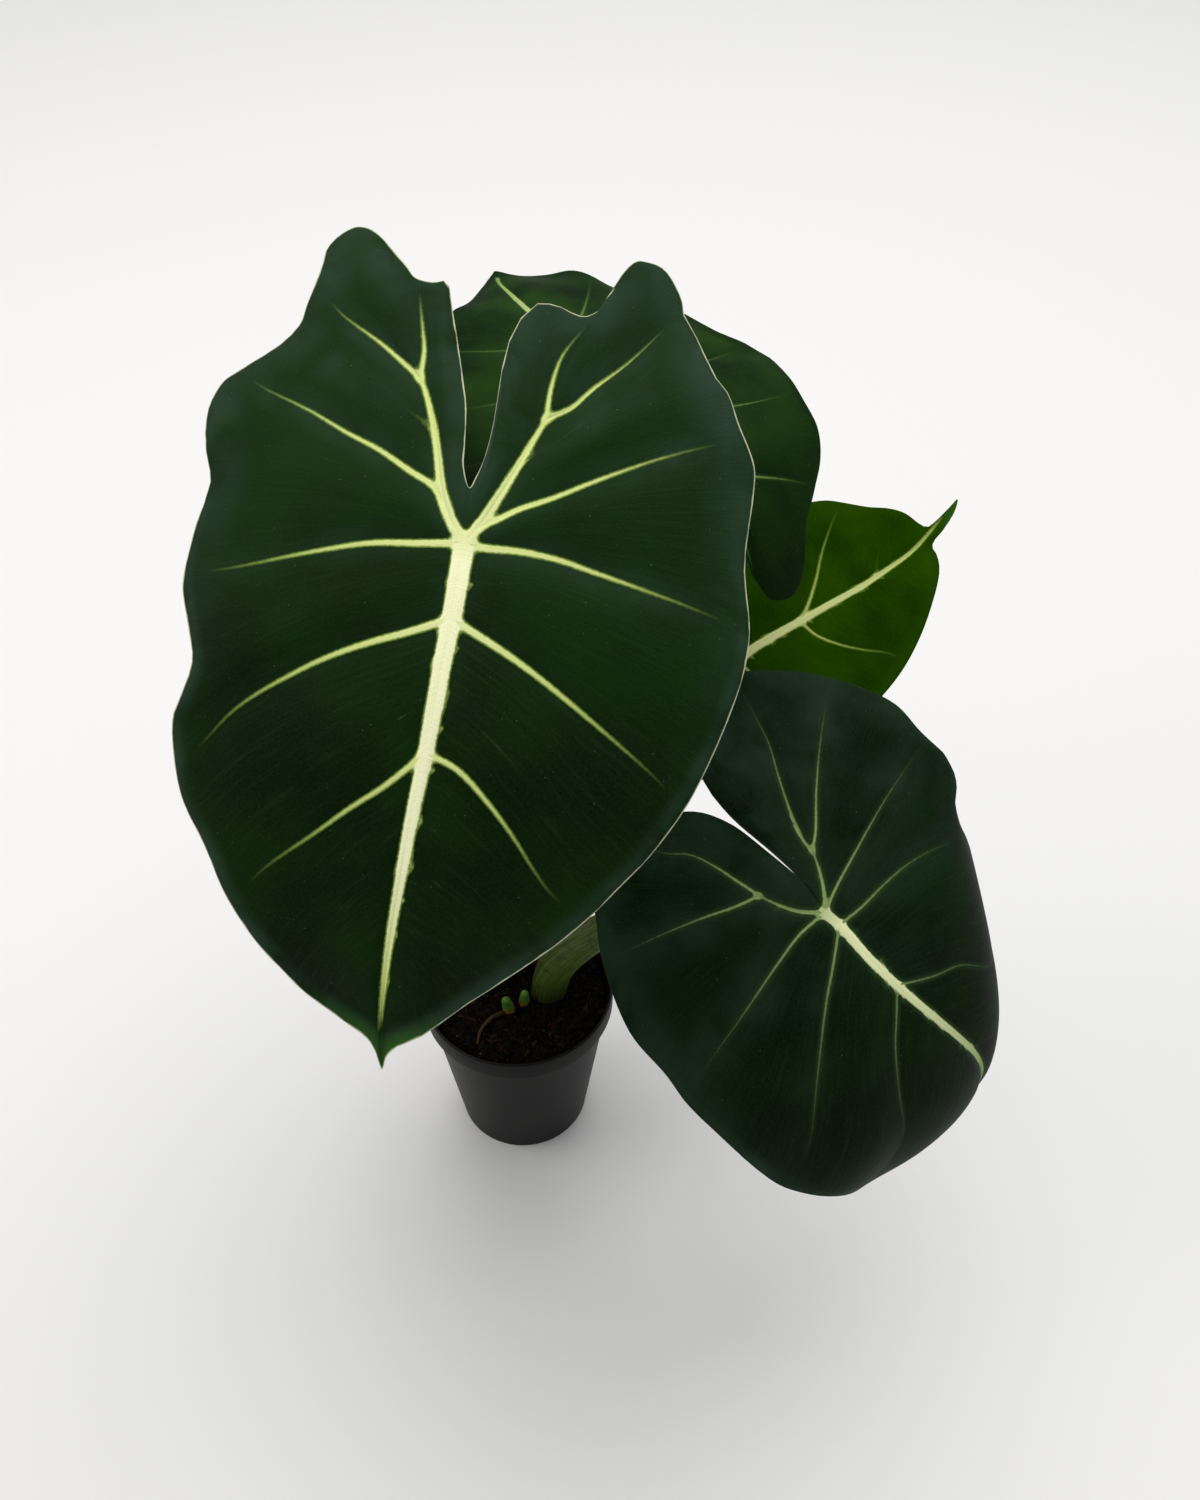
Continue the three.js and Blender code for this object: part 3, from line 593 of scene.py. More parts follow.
def sheetSide(leaf, side):
    # The flat mesh of one side: a ray of points for each line from the ribs to the margin
    half = sheet["across"]
    shares = [0, *half, 0.5, *[1 - share for share in half[::-1]]]
    rules = veinRules(leaf, side)
    ringLength = len(leaf["ring"])
    rays = {"flat": [], "share": [], "place": [], "foot": [], "gap": []}
    # The sheet swells between one vein that shows and the next, whatever lines the mesh has between them
    drawn = [i for i, rule in enumerate(rules) if rule[4] in leaf[side]["veins"]]
    valleys = [0, *drawn, len(rules) - 1]
    for number, (rule, after) in enumerate(zip(rules, rules[1:])):
        low = max(valley for valley in valleys if valley <= number)
        high = min(valley for valley in valleys if valley > number)
        one = veinLine(leaf, side, rule, rowLevels)
        two = veinLine(leaf, side, after, rowLevels)
        rib = after[0]
        fromFoot = rule[1] if rule[0] == rib else 0
        inNotch = number < 2
        isLast = number == len(rules) - 2
        for share in [*shares, 1] if isLast else shares:
            foot = fromFoot + (after[1] - fromFoot) * share
            end = rule[2] + (after[2] - rule[2]) * share
            blend = (1 - share) * one + share * two
            start = evenly(leaf["ribs"][rib], [foot])[0] - blend[0]
            finish = outlinePoints(leaf, side, [end])[0] - blend[-1]
            rays["flat"].append(blend + np.outer(1 - rowLevels, start) + np.outer(rowLevels, finish))
            rays["share"].append(foot if inNotch else (number + share - low) / (high - low))
            rays["place"].append((end if side > 0 else ringLength - end) / ringLength)
            rays["foot"].append((rib, foot))
            rays["gap"].append(number + share)
    return rays


def drawnVeins(leaf):
    # Every vein that shows: its line and its half width along it
    veins = []
    steps = sheet["veinSteps"]
    for rib, widths, count in (("midrib", "midribWidth", steps["midrib"]), (1, "costaWidth", steps["costa"]),
                               (-1, "costaWidth", steps["costa"])):
        shares = np.linspace(0, 1, count)
        veins.append((evenly(leaf["ribs"][rib], shares), taper(leaf[widths], shares)))
    shares = np.linspace(0, 1, steps["vein"])
    for side in (1, -1):
        for rule in veinRules(leaf, side):
            if rule[4] in leaf[side]["veins"]:
                line = veinLine(leaf, side, rule, np.linspace(0, 1 - sheet["fadeBefore"], steps["vein"]))
                veins.append((line, taper(leaf["veinWidth"], shares, leaf["thinner"].get(rule[4], 1))))
    for points in leaf["faint"]:
        veins.append((smoothLine(points, steps["faint"]), np.linspace(*sheet["faintWidth"], steps["faint"])))
    return veins


def stubVeins(leaf, rays, draw):
    # The tiny side veins of one side. Each follows a line of the mesh, which draws it sharp.
    stubs = []
    shares = np.linspace(0, 1, stub["steps"])
    latest = {}
    for flat, (rib, foot), number in zip(rays["flat"], rays["foot"], rays["gap"]):
        place = foot * lengthsAlong(leaf["ribs"][rib])[-1]
        fromLatest = abs(place - latest.get(rib, -stub["start"]))
        besideVein = not stub["clear"] < number % 1 < 1 - stub["clear"]
        if place < stub["start"] or besideVein:
            continue
        if fromLatest < stub["every"] * draw.uniform(*stub["everyRange"]):
            continue
        latest[rib] = place
        widths = leaf["midribWidth" if rib == "midrib" else "costaWidth"]
        reach = taper(widths, foot) + draw.uniform(*stub["length"])
        width = stub["width"] * draw.uniform(*stub["widthRange"]) * (1 - stub["thinning"] * foot)
        line = evenly(flat, shares * reach / lengthsAlong(flat)[-1])
        stubs.append((line, width * leaf["stubs"] * (1 - shares) + stub["point"]))
    return stubs


def veinField(veins, flat):
    # For each flat point: the smoothed distance to the nearest vein's edge, that vein's half width
    # there, and how far the ribs swell out below
    fillet = sheet["fillet"]
    byWidth, besides = sheet["ribBelowReach"]
    edge = np.full(len(flat), nowhere)
    width = np.zeros(len(flat))
    below = np.zeros(len(flat))
    for line, widths in veins:
        near = np.full(len(flat), nowhere)
        half = np.zeros(len(flat))
        for start, run, w0, w1 in zip(line, np.diff(line, axis=0), widths, widths[1:]):
            away, share = fromPiece(flat, start, run)
            local = w0 + (w1 - w0) * share
            closer = away - local < near - half
            near = np.where(closer, away, near)
            half = np.where(closer, local, half)
        gap = near - half
        width = np.where(gap < edge, half, width)
        blend = np.clip(0.5 + 0.5 * (edge - gap) / fillet, 0, 1)
        edge = edge + (gap - edge) * blend - fillet * blend * (1 - blend)
        below = np.maximum(below, half * np.exp(-(near / (byWidth * half + besides)) ** 2))
    return edge, width, below


def marginField(leaf, flat, count=500):
    # Distance from each flat point to the outline
    ring = catmullRom(leaf["ring"], np.linspace(0, len(leaf["ring"]), count)[:-1], closed=True)
    near = np.full(len(flat), nowhere)
    for start, run in zip(ring, np.roll(ring, -1, 0) - ring):
        near = np.minimum(near, fromPiece(flat, start, run)[0])
    return near


def sheetHeights(leaf, flat, level, share, place, veins, edge):
    # How far the points are from the margin, and how high both faces lie over the flat leaf
    width, below = veins[1:]
    margin = marginField(leaf, flat)
    acrossShape, alongShape = sheet["quiltShape"]
    pillow = np.abs(np.sin(np.pi * share)) ** acrossShape * np.sin(np.pi * level ** alongShape)
    ripple = leaf["wave"] * np.sin(2 * np.pi * leaf["waves"] * place) * level ** sheet["waveRise"]
    inside = np.clip(-edge / np.maximum(width, sheet["narrowest"]), 0, 1)
    ridge = sheet["ridge"] * np.minimum(width, sheet["ridgeLimit"]) * np.sqrt(1 - (1 - inside) ** 2)
    dip = np.exp(-(np.maximum(edge, 0) / sheet["grooveReach"]) ** 2) * sheet["groove"] * np.clip(width, 0, 1)
    before, over, curlWidth = sheet["curlPlace"]
    nearTip = np.clip((flat[:, 1] - leaf["tip"][1] + before) / over, 0, 1)
    curl = leaf["tipCurl"] * nearTip * np.clip(1 - margin / curlWidth, 0, 1) ** sheet["curlShape"]
    middle = leaf["quilt"] * pillow + ripple + curl - dip
    thinning = np.clip(margin / sheet["marginTaper"], 0, 1)
    thick = sheet["marginThickness"] + (sheet["thickness"] - sheet["marginThickness"]) * thinning
    swell = sheet["jointSwell"] * np.exp(-(flat ** 2).sum(1) / sheet["jointReach"] ** 2)
    return margin, middle + ridge, middle - thick - sheet["ribBelow"] * below - swell


def sheetFaces(sides, flat, gap):
    # The faces between the rays, above (0) and below (1), and the rim between both skins
    rows, total = sheet["rows"], len(flat)
    faces = []
    ray = 0
    for side, rays in sides.items():
        for feet, after in zip(rays["foot"], [*rays["foot"][1:], None]):
            following = ray + rows
            if after and not (feet == after and gap[ray] == gap[following]):
                sameFoot = np.allclose(flat[ray], flat[following])
                for row in range(rows - 1):
                    corners = [ray + row, ray + row + 1, following + row + 1]
                    if row > 0 or not sameFoot:
                        corners.append(following + row)
                    corners = corners[::side]
                    faces += [(corners, 0), ([corner + total for corner in corners[::-1]], 1)]
                rim = following - 1, following + rows - 1
                faces.append(([rim[0] + total, rim[1] + total, rim[1], rim[0]][::side], 0))
            ray = following
    return faces


def makeBlade(name, leaf, skins):
    prepareLeaf(leaf)
    draw = np.random.default_rng(leaf["seed"])
    sides = {side: sheetSide(leaf, side) for side in (1, -1)}
    flat, share, place, gap = [np.concatenate([np.array(rays[key]) for rays in sides.values()])
                               for key in ("flat", "share", "place", "gap")]
    level = np.tile(rowLevels, len(flat))
    flat = flat.reshape(-1, 2)
    share, place, gap = [np.repeat(values, sheet["rows"]) for values in (share, place, gap)]
    veins = veinField(drawnVeins(leaf), flat)
    stubs = [line for rays in sides.values() for line in stubVeins(leaf, rays, draw)]
    edge = np.minimum(veins[0], veinField(stubs, flat)[0])
    margin, above, below = sheetHeights(leaf, flat, level, share, place, veins, edge)

    # Lines that both sides share become one
    points = np.concatenate([bendPoints(leaf, flat, above), bendPoints(leaf, flat, below)])
    rounded = np.round(points, mergeDigits)
    found = np.unique(rounded, axis=0, return_index=True, return_inverse=True)
    firstUse, merged = found[1], found[2].ravel()
    faces = [(merged[corners].tolist(), corners, skin) for corners, skin in sheetFaces(sides, flat, gap)]
    faces = [face for face in faces if len(set(face[0])) == len(face[0])]
    piece = addPiece(f"leafBlade{name.capitalize()}", points[firstUse], [face[0] for face in faces], skins)
    mesh = piece.data
    mesh.polygons.foreach_set("material_index", [face[2] for face in faces])
    for attribute, values in (("veinEdge", edge), ("veinWidth", veins[1]), ("marginGap", margin),
                              ("ribEdge", veins[0])):
        addAttribute(mesh, attribute, np.tile(values, 2)[firstUse])
    corners = np.concatenate([face[1] for face in faces])
    # The leaf's own plane, and its lines numbered across and along
    for mapName, values in (("leafPlane", flat / planeUnit), ("veinPlane", np.stack([gap, level], 1))):
        layer = mesh.uv_layers.new(name=mapName)
        layer.data.foreach_set("uv", np.tile(values, (2, 1))[corners].astype(np.float32).ravel())
    return piece


# Velvet blade: a living leaf whose upper skin is covered in tiny domed cells. They swallow light seen
# from straight on, so it looks almost black-green. Its soft grey-blue sheen is painted into the colour.
velvet = {
    "dark": "#061703",
    "green": "#0e2606",
    "lobe": "#1c3813",
    # Painted light on the lobes, which face up toward the light from above
    "paintedSheen": "#2b4031",
    # A painted grey-blue sheen, laid into the colour
    "tint": "#233d1b",
    "tipGreen": "#2c5417",
    "tipFrom": 1.24,         # where the fresh green begins, in hundreds of millimetres from the joint
    "speck": "#8aa58c",
    "fringe": "#7d9a3c",
    "fringeReach": 0.45,
    "veinSheen": (7, 0.55),  # how far the painted sheen reaches from a vein, in millimetres, and its strength
    "veinPale": "#fdffd2",
    "veinMid": "#dbe894",
    "veinThin": "#7d9a44",
    "margin": "#d9ddb8",
    "marginWidth": 0.34,
    "sheen": 0.008,
    "sheenRoughness": 0.4,
    "sheenTint": "#cfdcd6",
    "specular": 0.04,
    "roughness": 0.5,
}
# In the copies for the low and back leaves the lobe colour is darker than the green: painted shade on their
# lobes
velvetLow = dict(velvet, dark="#051303", green="#0c2107", lobe="#0b1d09", paintedSheen="#243628", tint="#263d22",
                 fringe="#2c4422", fringeReach=1.5, veinSheen=(14, 1.0), veinPale="#f4fbc2",
                 veinMid="#94ac6a", veinThin="#486040", margin="#2e4226", marginWidth=0.2, sheen=0.0,
                 specular=0.02)
velvetBack = dict(velvet, dark="#0c2008", green="#254513", lobe="#0e2208", paintedSheen="#11250c",
                  fringe="#29441b", fringeReach=0.8, veinPale="#c3d08c", veinMid="#82a054",
                  veinThin="#253e1c", margin="#34502a", marginWidth=0.15, sheen=0.0, specular=0.02)
youngSkin = dict(velvet, dark="#163001", green="#264701", lobe="#213f01", paintedSheen="#213f02", tint="#2d5206",
                 speck="#8aa35a", fringe="#5a7a1c", veinPale="#d4dc9c", veinMid="#bcc77a",
                 veinThin="#65832e", margin="#4f6a1a", marginWidth=0.15, sheen=0.0, specular=0.0,
                 roughness=0.42)
# How the upper skin's patterns lie. Noises: scale, detail, roughness, distortion, and the values between
# which they show. Places on the leaf are hundreds of millimetres, distances from veins and margin are
# millimetres.
skinPattern = {
    "patches": (2.6, 3, 0.5, 0, 0.4, 0.64),      # greener and darker velvet, about 30 mm across
    "streaks": (1.4, 4, 0.65, 0.5, 0.5, 0.78),   # fine side veins, from the midrib to the margin
    "streakStretch": (26, 2.6, 1),
    "nap": (110, 3, 0.7, 0, 0.4, 0.8),           # fine grain of the velvet itself
    "clouds": (5, 4, 0.5, 0.6, 0.3, 0.62),       # where the painted sheen lies
    "lobeFade": (-0.5, 0.7),                     # painted light and shade on the lobes, fading out toward the tip
    "tipFade": 0.1,
    "tipEdge": (0.5, 4),                         # width of the fresh green edge of the tip
    "veinSheenFrom": 0.3,
    "lobeSheen": (1, 16),
    "marginSheen": (0.8, 6, 0.95),
    "specks": (62, 0.07, 0.15, 0.75),            # scale, core and rim of a speck, share of cells without
    "ragged": (90, 3, 0.45),                     # scale, detail and reach of the shaken vein edges
    "veinFade": (-0.42, 0.06),
    "fringeFrom": -0.06,
    "veinStrong": (0.12, 0.55),                  # half widths between which a vein comes to full strength
    "marginWander": (14, 2, 0.7),
    "marginFade": (0.1, 0.4),
    "ribRange": (0, 2),                          # half widths over which a rib's colours change
    "ribStops": (0.08, 0.42, 0.8),
    "ribLines": (2.2, 1.3, 2, 0.5, 0.75, 0.35),  # lengthwise lines: pitch, scale, detail, range, strength
    "aboveJoint": (-0.02, 0.06, 0.65),
    "domes": (160, 2, 0.25, 0.3),                # scale, detail, strength and depth of their relief
    "veinRelief": (0.3, 0.6),
}
# How strongly each layer covers those under it
# The lobe layer is painted light and shade, and the grey-blue sheen layer is painted sheen
layerStrength = {"lobe": 0.45, "paintedSheen": 0.95, "streaks": 0.3, "tip": 0.8, "nap": 0.25, "specks": 0.3,
                 "fringe": 0.8, "vein": 1.0, "margin": 0.9}


def leafPlaces(tree, stretch):
    # Places in the leaf's plane, and places along its veins for streaks
    plane, grain = [outputOf(tree, "ShaderNodeUVMap", uv_map=key) for key in ("leafPlane", "veinPlane")]
    return plane, outputOf(tree, "ShaderNodeMapping", {"Vector": grain, "Scale": stretch})


def upperSkin(name, look):
    material, tree = newMaterial(name)
    plane, along = leafPlaces(tree, skinPattern["streakStretch"])
    edge, width, margin = valuesOf(tree, "veinEdge", "veinWidth", "marginGap")
    forward = addNode(tree, "ShaderNodeSeparateXYZ", {"Vector": plane}).outputs["Y"]
    seats = {"patches": plane, "streaks": along, "nap": plane, "clouds": plane}
    noises = {key: noise(tree, seat, *skinPattern[key][:4]) for key, seat in seats.items()}
    shares = {key: spread(tree, noises[key], *skinPattern[key][4:]) for key in seats}
    # Painted light and shade on the lobes: the front leaf's lighter lobe colour stands for light from above,
    # the darker lobe colours of the other leaves for shade
    shares["lobe"] = ease(tree, forward, *skinPattern["lobeFade"], 1, 0)
    # The curled edges of the drip tip are a fresher green
    nearTip = spread(tree, forward, look["tipFrom"], look["tipFrom"] + skinPattern["tipFade"])
    shares["tip"] = times(tree, nearTip, spread(tree, margin, *skinPattern["tipEdge"], 1, 0))
    # Painted sheen lies in soft clouds beside the ribs of the lobes, and along the whole margin
    besideVein = ease(tree, edge, skinPattern["veinSheenFrom"], *look["veinSheen"], 0)
    onLobe = maths(tree, "MAXIMUM", besideVein, ease(tree, margin, *skinPattern["lobeSheen"], 1, 0))
    onEdge = ease(tree, margin, *skinPattern["marginSheen"], 0)
    shares["paintedSheen"] = times(tree, maths(tree, "MAXIMUM", times(tree, onLobe, shares["lobe"]), onEdge),
                            shares["clouds"])
    # Pale specks a few tenths of a millimetre wide, drawn a little coarser than life so that they show
    scale, core, rim, without = skinPattern["specks"]
    cells = addNode(tree, "ShaderNodeTexVoronoi", {"Vector": plane, "Scale": scale}).outputs
    shares["specks"] = times(tree, spread(tree, cells["Distance"], core, rim, 1, 0),
                             spread(tree, cells["Color"], without, 1))

    # Ragged vein edges: the distance to the edge is shaken by a fine noise. Yellow-green shows
    # beside a vein and on its own edges, so that it has a bright core.
    scale, detail, reach = skinPattern["ragged"]
    centred = maths(tree, "ADD", noise(tree, plane, scale, detail), -0.5)
    ragged = maths(tree, "MULTIPLY_ADD", centred, reach, edge)
    strong = spread(tree, width, *skinPattern["veinStrong"])
    fringe = ease(tree, ragged, skinPattern["fringeFrom"], look["fringeReach"], 1, 0)
    shares["vein"] = times(tree, ease(tree, ragged, *skinPattern["veinFade"], 1, 0), strong)
    shares["fringe"] = times(tree, fringe, strong)
    # A pale rim whose width wanders
    scale, detail, reach = skinPattern["marginWander"]
    shifted = maths(tree, "MULTIPLY_ADD", noise(tree, plane, scale, detail), reach, margin)
    fade = [look["marginWidth"] + gap for gap in skinPattern["marginFade"]]
    shares["margin"] = spread(tree, shifted, *fade, 1, 0)

    # The ribs are cream where wide, with fine lengthwise lines, and greener as they thin out. Above
    # the joint they are greener too.
    stops = zip(skinPattern["ribStops"], [look[key] for key in ("veinThin", "veinMid", "veinPale")])
    rib = outputOf(tree, "ShaderNodeValToRGB", {"Fac": spread(tree, width, *skinPattern["ribRange"])},
                   stops=stops)
    pitch, scale, detail, start, end, strength = skinPattern["ribLines"]
    lines = outputOf(tree, "ShaderNodeTexNoise", {"W": times(tree, edge, pitch), "Vector": plane,
                                                  "Scale": scale, "Detail": detail}, noise_dimensions="4D")
    lineShare = spread(tree, lines, start, end, 0, strength)
    aboveJoint = spread(tree, forward, *skinPattern["aboveJoint"], 0)
    rib = mixed(tree, maths(tree, "MAXIMUM", lineShare, aboveJoint), rib, look["veinMid"])

    # Layers from the bottom up
    colour = mixed(tree, shares["patches"], look["dark"], look["green"])
    tints = {"lobe": look["lobe"], "paintedSheen": look["paintedSheen"], "streaks": look["tint"], "tip": look["tipGreen"],
             "nap": look["tint"], "specks": look["speck"], "fringe": look["fringe"], "vein": rib,
             "margin": look["margin"]}
    for key, tint in tints.items():
        share = maths(tree, "MULTIPLY", shares[key], layerStrength[key], use_clamp=True)
        colour = mixed(tree, share, colour, tint)

    # Relief: the domed cells, coarse enough to show, and the fine side veins
    scale, detail, strength, depth = skinPattern["domes"]
    relief = bump(tree, noise(tree, plane, scale, detail), strength, depth)
    relief = bump(tree, noises["streaks"], *skinPattern["veinRelief"], relief)
    sheen = {"Sheen Weight": look["sheen"], "Sheen Roughness": look["sheenRoughness"],
             "Sheen Tint": look["sheenTint"]}
    addShader(tree, colour, look["roughness"], look["specular"], relief, sheen)
    return material


# Lower skin: the same leaf without its velvet, a duller paler green with raised pale ribs
lowerPattern = {
    "clouds": (6, 4),
    "streaks": (1.6, 4),
    "streakStretch": (46, 1.6, 1),
    "streakRange": (0.48, 0.8, 0, 0.35),
    "ribFade": (-0.2, 0.8, 0.85, 0),
    "jointFade": (0.05, 0.11, 0.85, 0),
    "relief": (0.4, 0.8),
    "roughness": 0.55,
    "specular": 0.3,
}


def lowerSkin(name, base, deep, rib):
    material, tree = newMaterial(name)
    plane, along = leafPlaces(tree, lowerPattern["streakStretch"])
    streaks = noise(tree, along, *lowerPattern["streaks"])
    ground = mixed(tree, noise(tree, plane, *lowerPattern["clouds"]), deep, base)
    veined = mixed(tree, spread(tree, streaks, *lowerPattern["streakRange"]), ground, rib)
    onRib = ease(tree, valuesOf(tree, "ribEdge")[0], *lowerPattern["ribFade"])
    fromJoint = addNode(tree, "ShaderNodeVectorMath", {0: plane}, operation="LENGTH").outputs["Value"]
    onJoint = ease(tree, fromJoint, *lowerPattern["jointFade"])
    colour = mixed(tree, maths(tree, "MAXIMUM", onRib, onJoint), veined, rib)
    addShader(tree, colour, lowerPattern["roughness"], lowerPattern["specular"],
              bump(tree, streaks, *lowerPattern["relief"]))
    return material


print("Leaf blades")
matureUnder = lowerSkin("matureLeafUnderside", "#4a6238", "#35492a", "#9aab6c")
youngUnder = lowerSkin("youngLeafUnderside", "#6b8a34", "#557326", "#b3c27a")
bladeSkins = {
    "front": (upperSkin("velvetSkinFront", velvet), matureUnder),
    "low": (upperSkin("velvetSkinLow", velvetLow), matureUnder),
    "back": (upperSkin("velvetSkinBack", velvetBack), matureUnder),
    "young": (upperSkin("youngSkin", youngSkin), youngUnder),
}
for name, leaf in leaves.items():
    blade = makeBlade(name, leaf, bladeSkins[name])
    finishPiece(blade, f"blade_{name}")
    print("  blade", name, len(blade.data.polygons), "faces")


# Geometry trees
def newTree(name, wanted):
    # A geometry tree with named inputs. Returns the tree and the output sockets of its inputs.
    tree = bpy.data.node_groups.new(name, "GeometryNodeTree")
    for inOut, label, kind in (("OUTPUT", "Geometry", "Geometry"), ("INPUT", "Geometry", "Geometry"),
                               *[("INPUT", label, kind) for label, kind in wanted.items()]):
        tree.interface.new_socket(label, in_out=inOut, socket_type=f"NodeSocket{kind}")
    return tree, tree.nodes.new("NodeGroupInput").outputs


def finishTree(tree, geometry, skin):
    # The end of every tree: smooth real geometry with its material
    smooth = outputOf(tree, "GeometryNodeSetShadeSmooth", {"Geometry": geometry})
    real = outputOf(tree, "GeometryNodeRealizeInstances", {"Geometry": smooth})
    painted = outputOf(tree, "GeometryNodeSetMaterial", {"Geometry": real, "Material": skin})
    tree.links.new(painted, tree.nodes.new("NodeGroupOutput").inputs[0])


def grownPiece(name, seedMesh, tree, values):
    # Runs a tree on a mesh and keeps the outcome as a plain object
    carrier = addObject(name + "Seed", seedMesh)
    modifier = carrier.modifiers.new("grow", "NODES")
    modifier.node_group = tree
    for item in tree.interface.items_tree:
        if item.in_out == "INPUT" and item.name in values:
            modifier[item.identifier] = values[item.name]
    bpy.context.view_layer.update()
    mesh = bpy.data.meshes.new_from_object(carrier.evaluated_get(bpy.context.evaluated_depsgraph_get()))
    carrier.modifiers.remove(modifier)
    bpy.data.objects.remove(carrier)
    mesh.name = name
    return addObject(name, mesh)


# Stems: every petiole follows its route from the soil to its blade, with a groove pressed into one side
# low down, where its sheath folds round the next petiole in the real plant.
stems = {
    "sides": 40,
    "steps": 120,
    "groove": (0.16, 0.42),  # depth in shares of the radius, and where it ends in shares of the length
    "heights": (54, 72.5),   # where a petiole starts in the soil, and where it comes out
    "arrivals": (1, 0.45),   # where its last straight stretch has points, in shares of that stretch
    "joint": 0.6,            # how far under the blade's upper face it ends
    "thinning": (0.12, 0.38),    # share of the length where the sheath begins to thin, and over how much
    "flare": (0.22, 0.965),  # widening right under the blade, and the share of the length where it starts
    "seam": (0.3, 0.09),     # place and width of the sheath's seam, in turns round the stem
}
# Shorter stems with a point: two sprouts, and an old leaf stalk that has dried up and lies on the soil
sprout = {
    "sides": 28,
    "groove": (0.1, 0.9),
    "thinning": (0.8, 0.35, 1.6),    # how much it thins, from which share of its length, and how fast
    "point": 0.09,           # share of the length that its round end takes
    "slot": "sprout",
}
shoots = {
    "dryStalk": {"sides": 20, "groove": (0.3, 1.0), "thinning": (0.55, 0, 1), "point": 0.05, "slot": "soil",
        "node": "soil", "radius": 1.1, "route": [(-4.6, -8.8, 71), (-6.2, -10.4, 73.6), (-10.5, -14, 74.6),
            (-14, -18.5, 73.6), (-15.2, -24.5, 72.8)]},
    "sproutNear": dict(sprout, node="sprout_near", radius=2.5,
        route=[(-3.5, -8, 65.5), (-3.5, -8, 72.5), (-4.1, -8.5, 77.9), (-4.7, -9, 81.5)]),
    "sproutFar": dict(sprout, node="sprout_far", radius=2.3,
        route=[(2.5, -4.5, 65.5), (2.5, -4.5, 72.5), (2.8, -5, 77.66), (3.1, -5.5, 81.1)]),
}
shootSteps = 40
routeFineness = 5
bluntness = 0.02             # keeps a point from closing altogether


def petiolePath(leaf):
    # The line of a petiole, its radius along it, and how far along each point is
    base, top = np.array(leaf["base"], float), np.array(leaf["attach"], float)
    up = leaf["axes"][2]
    points = [*[(*base, height) for height in stems["heights"]], *leaf["route"],
              *[top - up * leaf["arrive"] * part for part in stems["arrivals"]], top - up * stems["joint"]]
    share = np.linspace(0, 1, stems["steps"])
    foot, middle, tip = leaf["radii"]
    start, over = stems["thinning"]
    closed = np.clip((share - start) / over, 0, 1)
    closed = closed ** 2 * (3 - 2 * closed)
    radius = foot + (middle + (tip - middle) * share - foot) * closed
    wider, start = stems["flare"]
    radius = radius * (1 + wider * np.clip((share - start) / (1 - start), 0, 1) ** 2)
    return smoothLine(points, stems["steps"], routeFineness), radius, share


def shootPath(shoot):
    share = np.linspace(0, 1, shootSteps)
    much, start, fall = shoot["thinning"]
    radius = shoot["radius"] * (1 - much * np.maximum(0, share - start) ** fall)
    roundEnd = np.sqrt(np.clip((1 - share) / shoot["point"], bluntness, 1))
    return smoothLine(shoot["route"], shootSteps, routeFineness), radius * roundEnd, share


def makeStemTree():
    # A tube along a line whose points carry their radius and place, with its seam pressed in
    tree, given = newTree("stemTube", {"Sides": "Int", "Groove Depth": "Float", "Groove End": "Float",
                                       "Skin": "Material"})
    radius, place, around = [outputOf(tree, "GeometryNodeInputNamedAttribute", {"Name": name})
                             for name in ("stemRadius", "stemPlace", "stemAround")]
    spine = outputOf(tree, "GeometryNodeMeshToCurve", {"Mesh": given["Geometry"]})
    hoop = outputOf(tree, "GeometryNodeCurvePrimitiveCircle", {"Resolution": given["Sides"], "Radius": 1.0})
    turn = outputOf(tree, "GeometryNodeSplineParameter")
    marked = outputOf(tree, "GeometryNodeStoreNamedAttribute",
                      {"Geometry": hoop, "Name": "stemAround", "Value": turn}, domain="POINT")
    tube = outputOf(tree, "GeometryNodeCurveToMesh",
                    {"Curve": spine, "Profile Curve": marked, "Scale": radius, "Fill Caps": True})
    middle, width = stems["seam"]
    seam = ease(tree, maths(tree, "ABSOLUTE", maths(tree, "SUBTRACT", around, middle)), 0, width, 1, 0)
    pressed = times(tree, seam, ease(tree, place, 0, given["Groove End"], 1, 0))
    inward = times(tree, pressed, times(tree, given["Groove Depth"], radius))
    offset = scaled(tree, outputOf(tree, "GeometryNodeInputNormal"), times(tree, inward, -1))
    moved = outputOf(tree, "GeometryNodeSetPosition", {"Geometry": tube, "Offset": offset})
    finishTree(tree, moved, given["Skin"])
    return tree


# Petiole skin: green and waxy, with fine lengthwise lines and faint mottling
petioleLook = {
    "green": "#2e3d0e",
    "pale": "#485823",
    "dark": "#1e2b09",
    # The dark brown foot is partly the dry foot and partly painted shade where the petiole goes into the
    # soil
    "base": "#2a200c",
    "baseRange": (0.05, 0.1),    # share of the length where the dark foot ends, and how softly
    "top": "#94a663",
}
sproutLook = {"green": "#3f6a1e", "pale": "#5b8a34", "dark": "#2f5216", "base": "#8a5c2c",
              "baseRange": (0.46, 0.25), "top": "#5b8a34"}
stalkLook = {"green": "#2c2010", "pale": "#4a3517", "dark": "#201608", "base": "#201608",
             "baseRange": (0, 0.1), "top": "#5a3c1a"}
stemPattern = {
    "lines": (9, 3, 0.35, 0.65),     # scale, detail and the values between which they show
    "mottle": (260, 4, 0.6, 0),
    "mottleRange": (0.52, 0.72, 0, 0.75),
    "topRange": (0.92, 0.995, 0, 0.9),
    "baseShare": 0.9,
    "relief": (0.25, 0.4),
    "roughness": 0.5,
    "specular": 0.15,
    "glow": {"Subsurface Weight": 0.08, "Subsurface Radius": (0.002, 0.003, 0.001)},
}


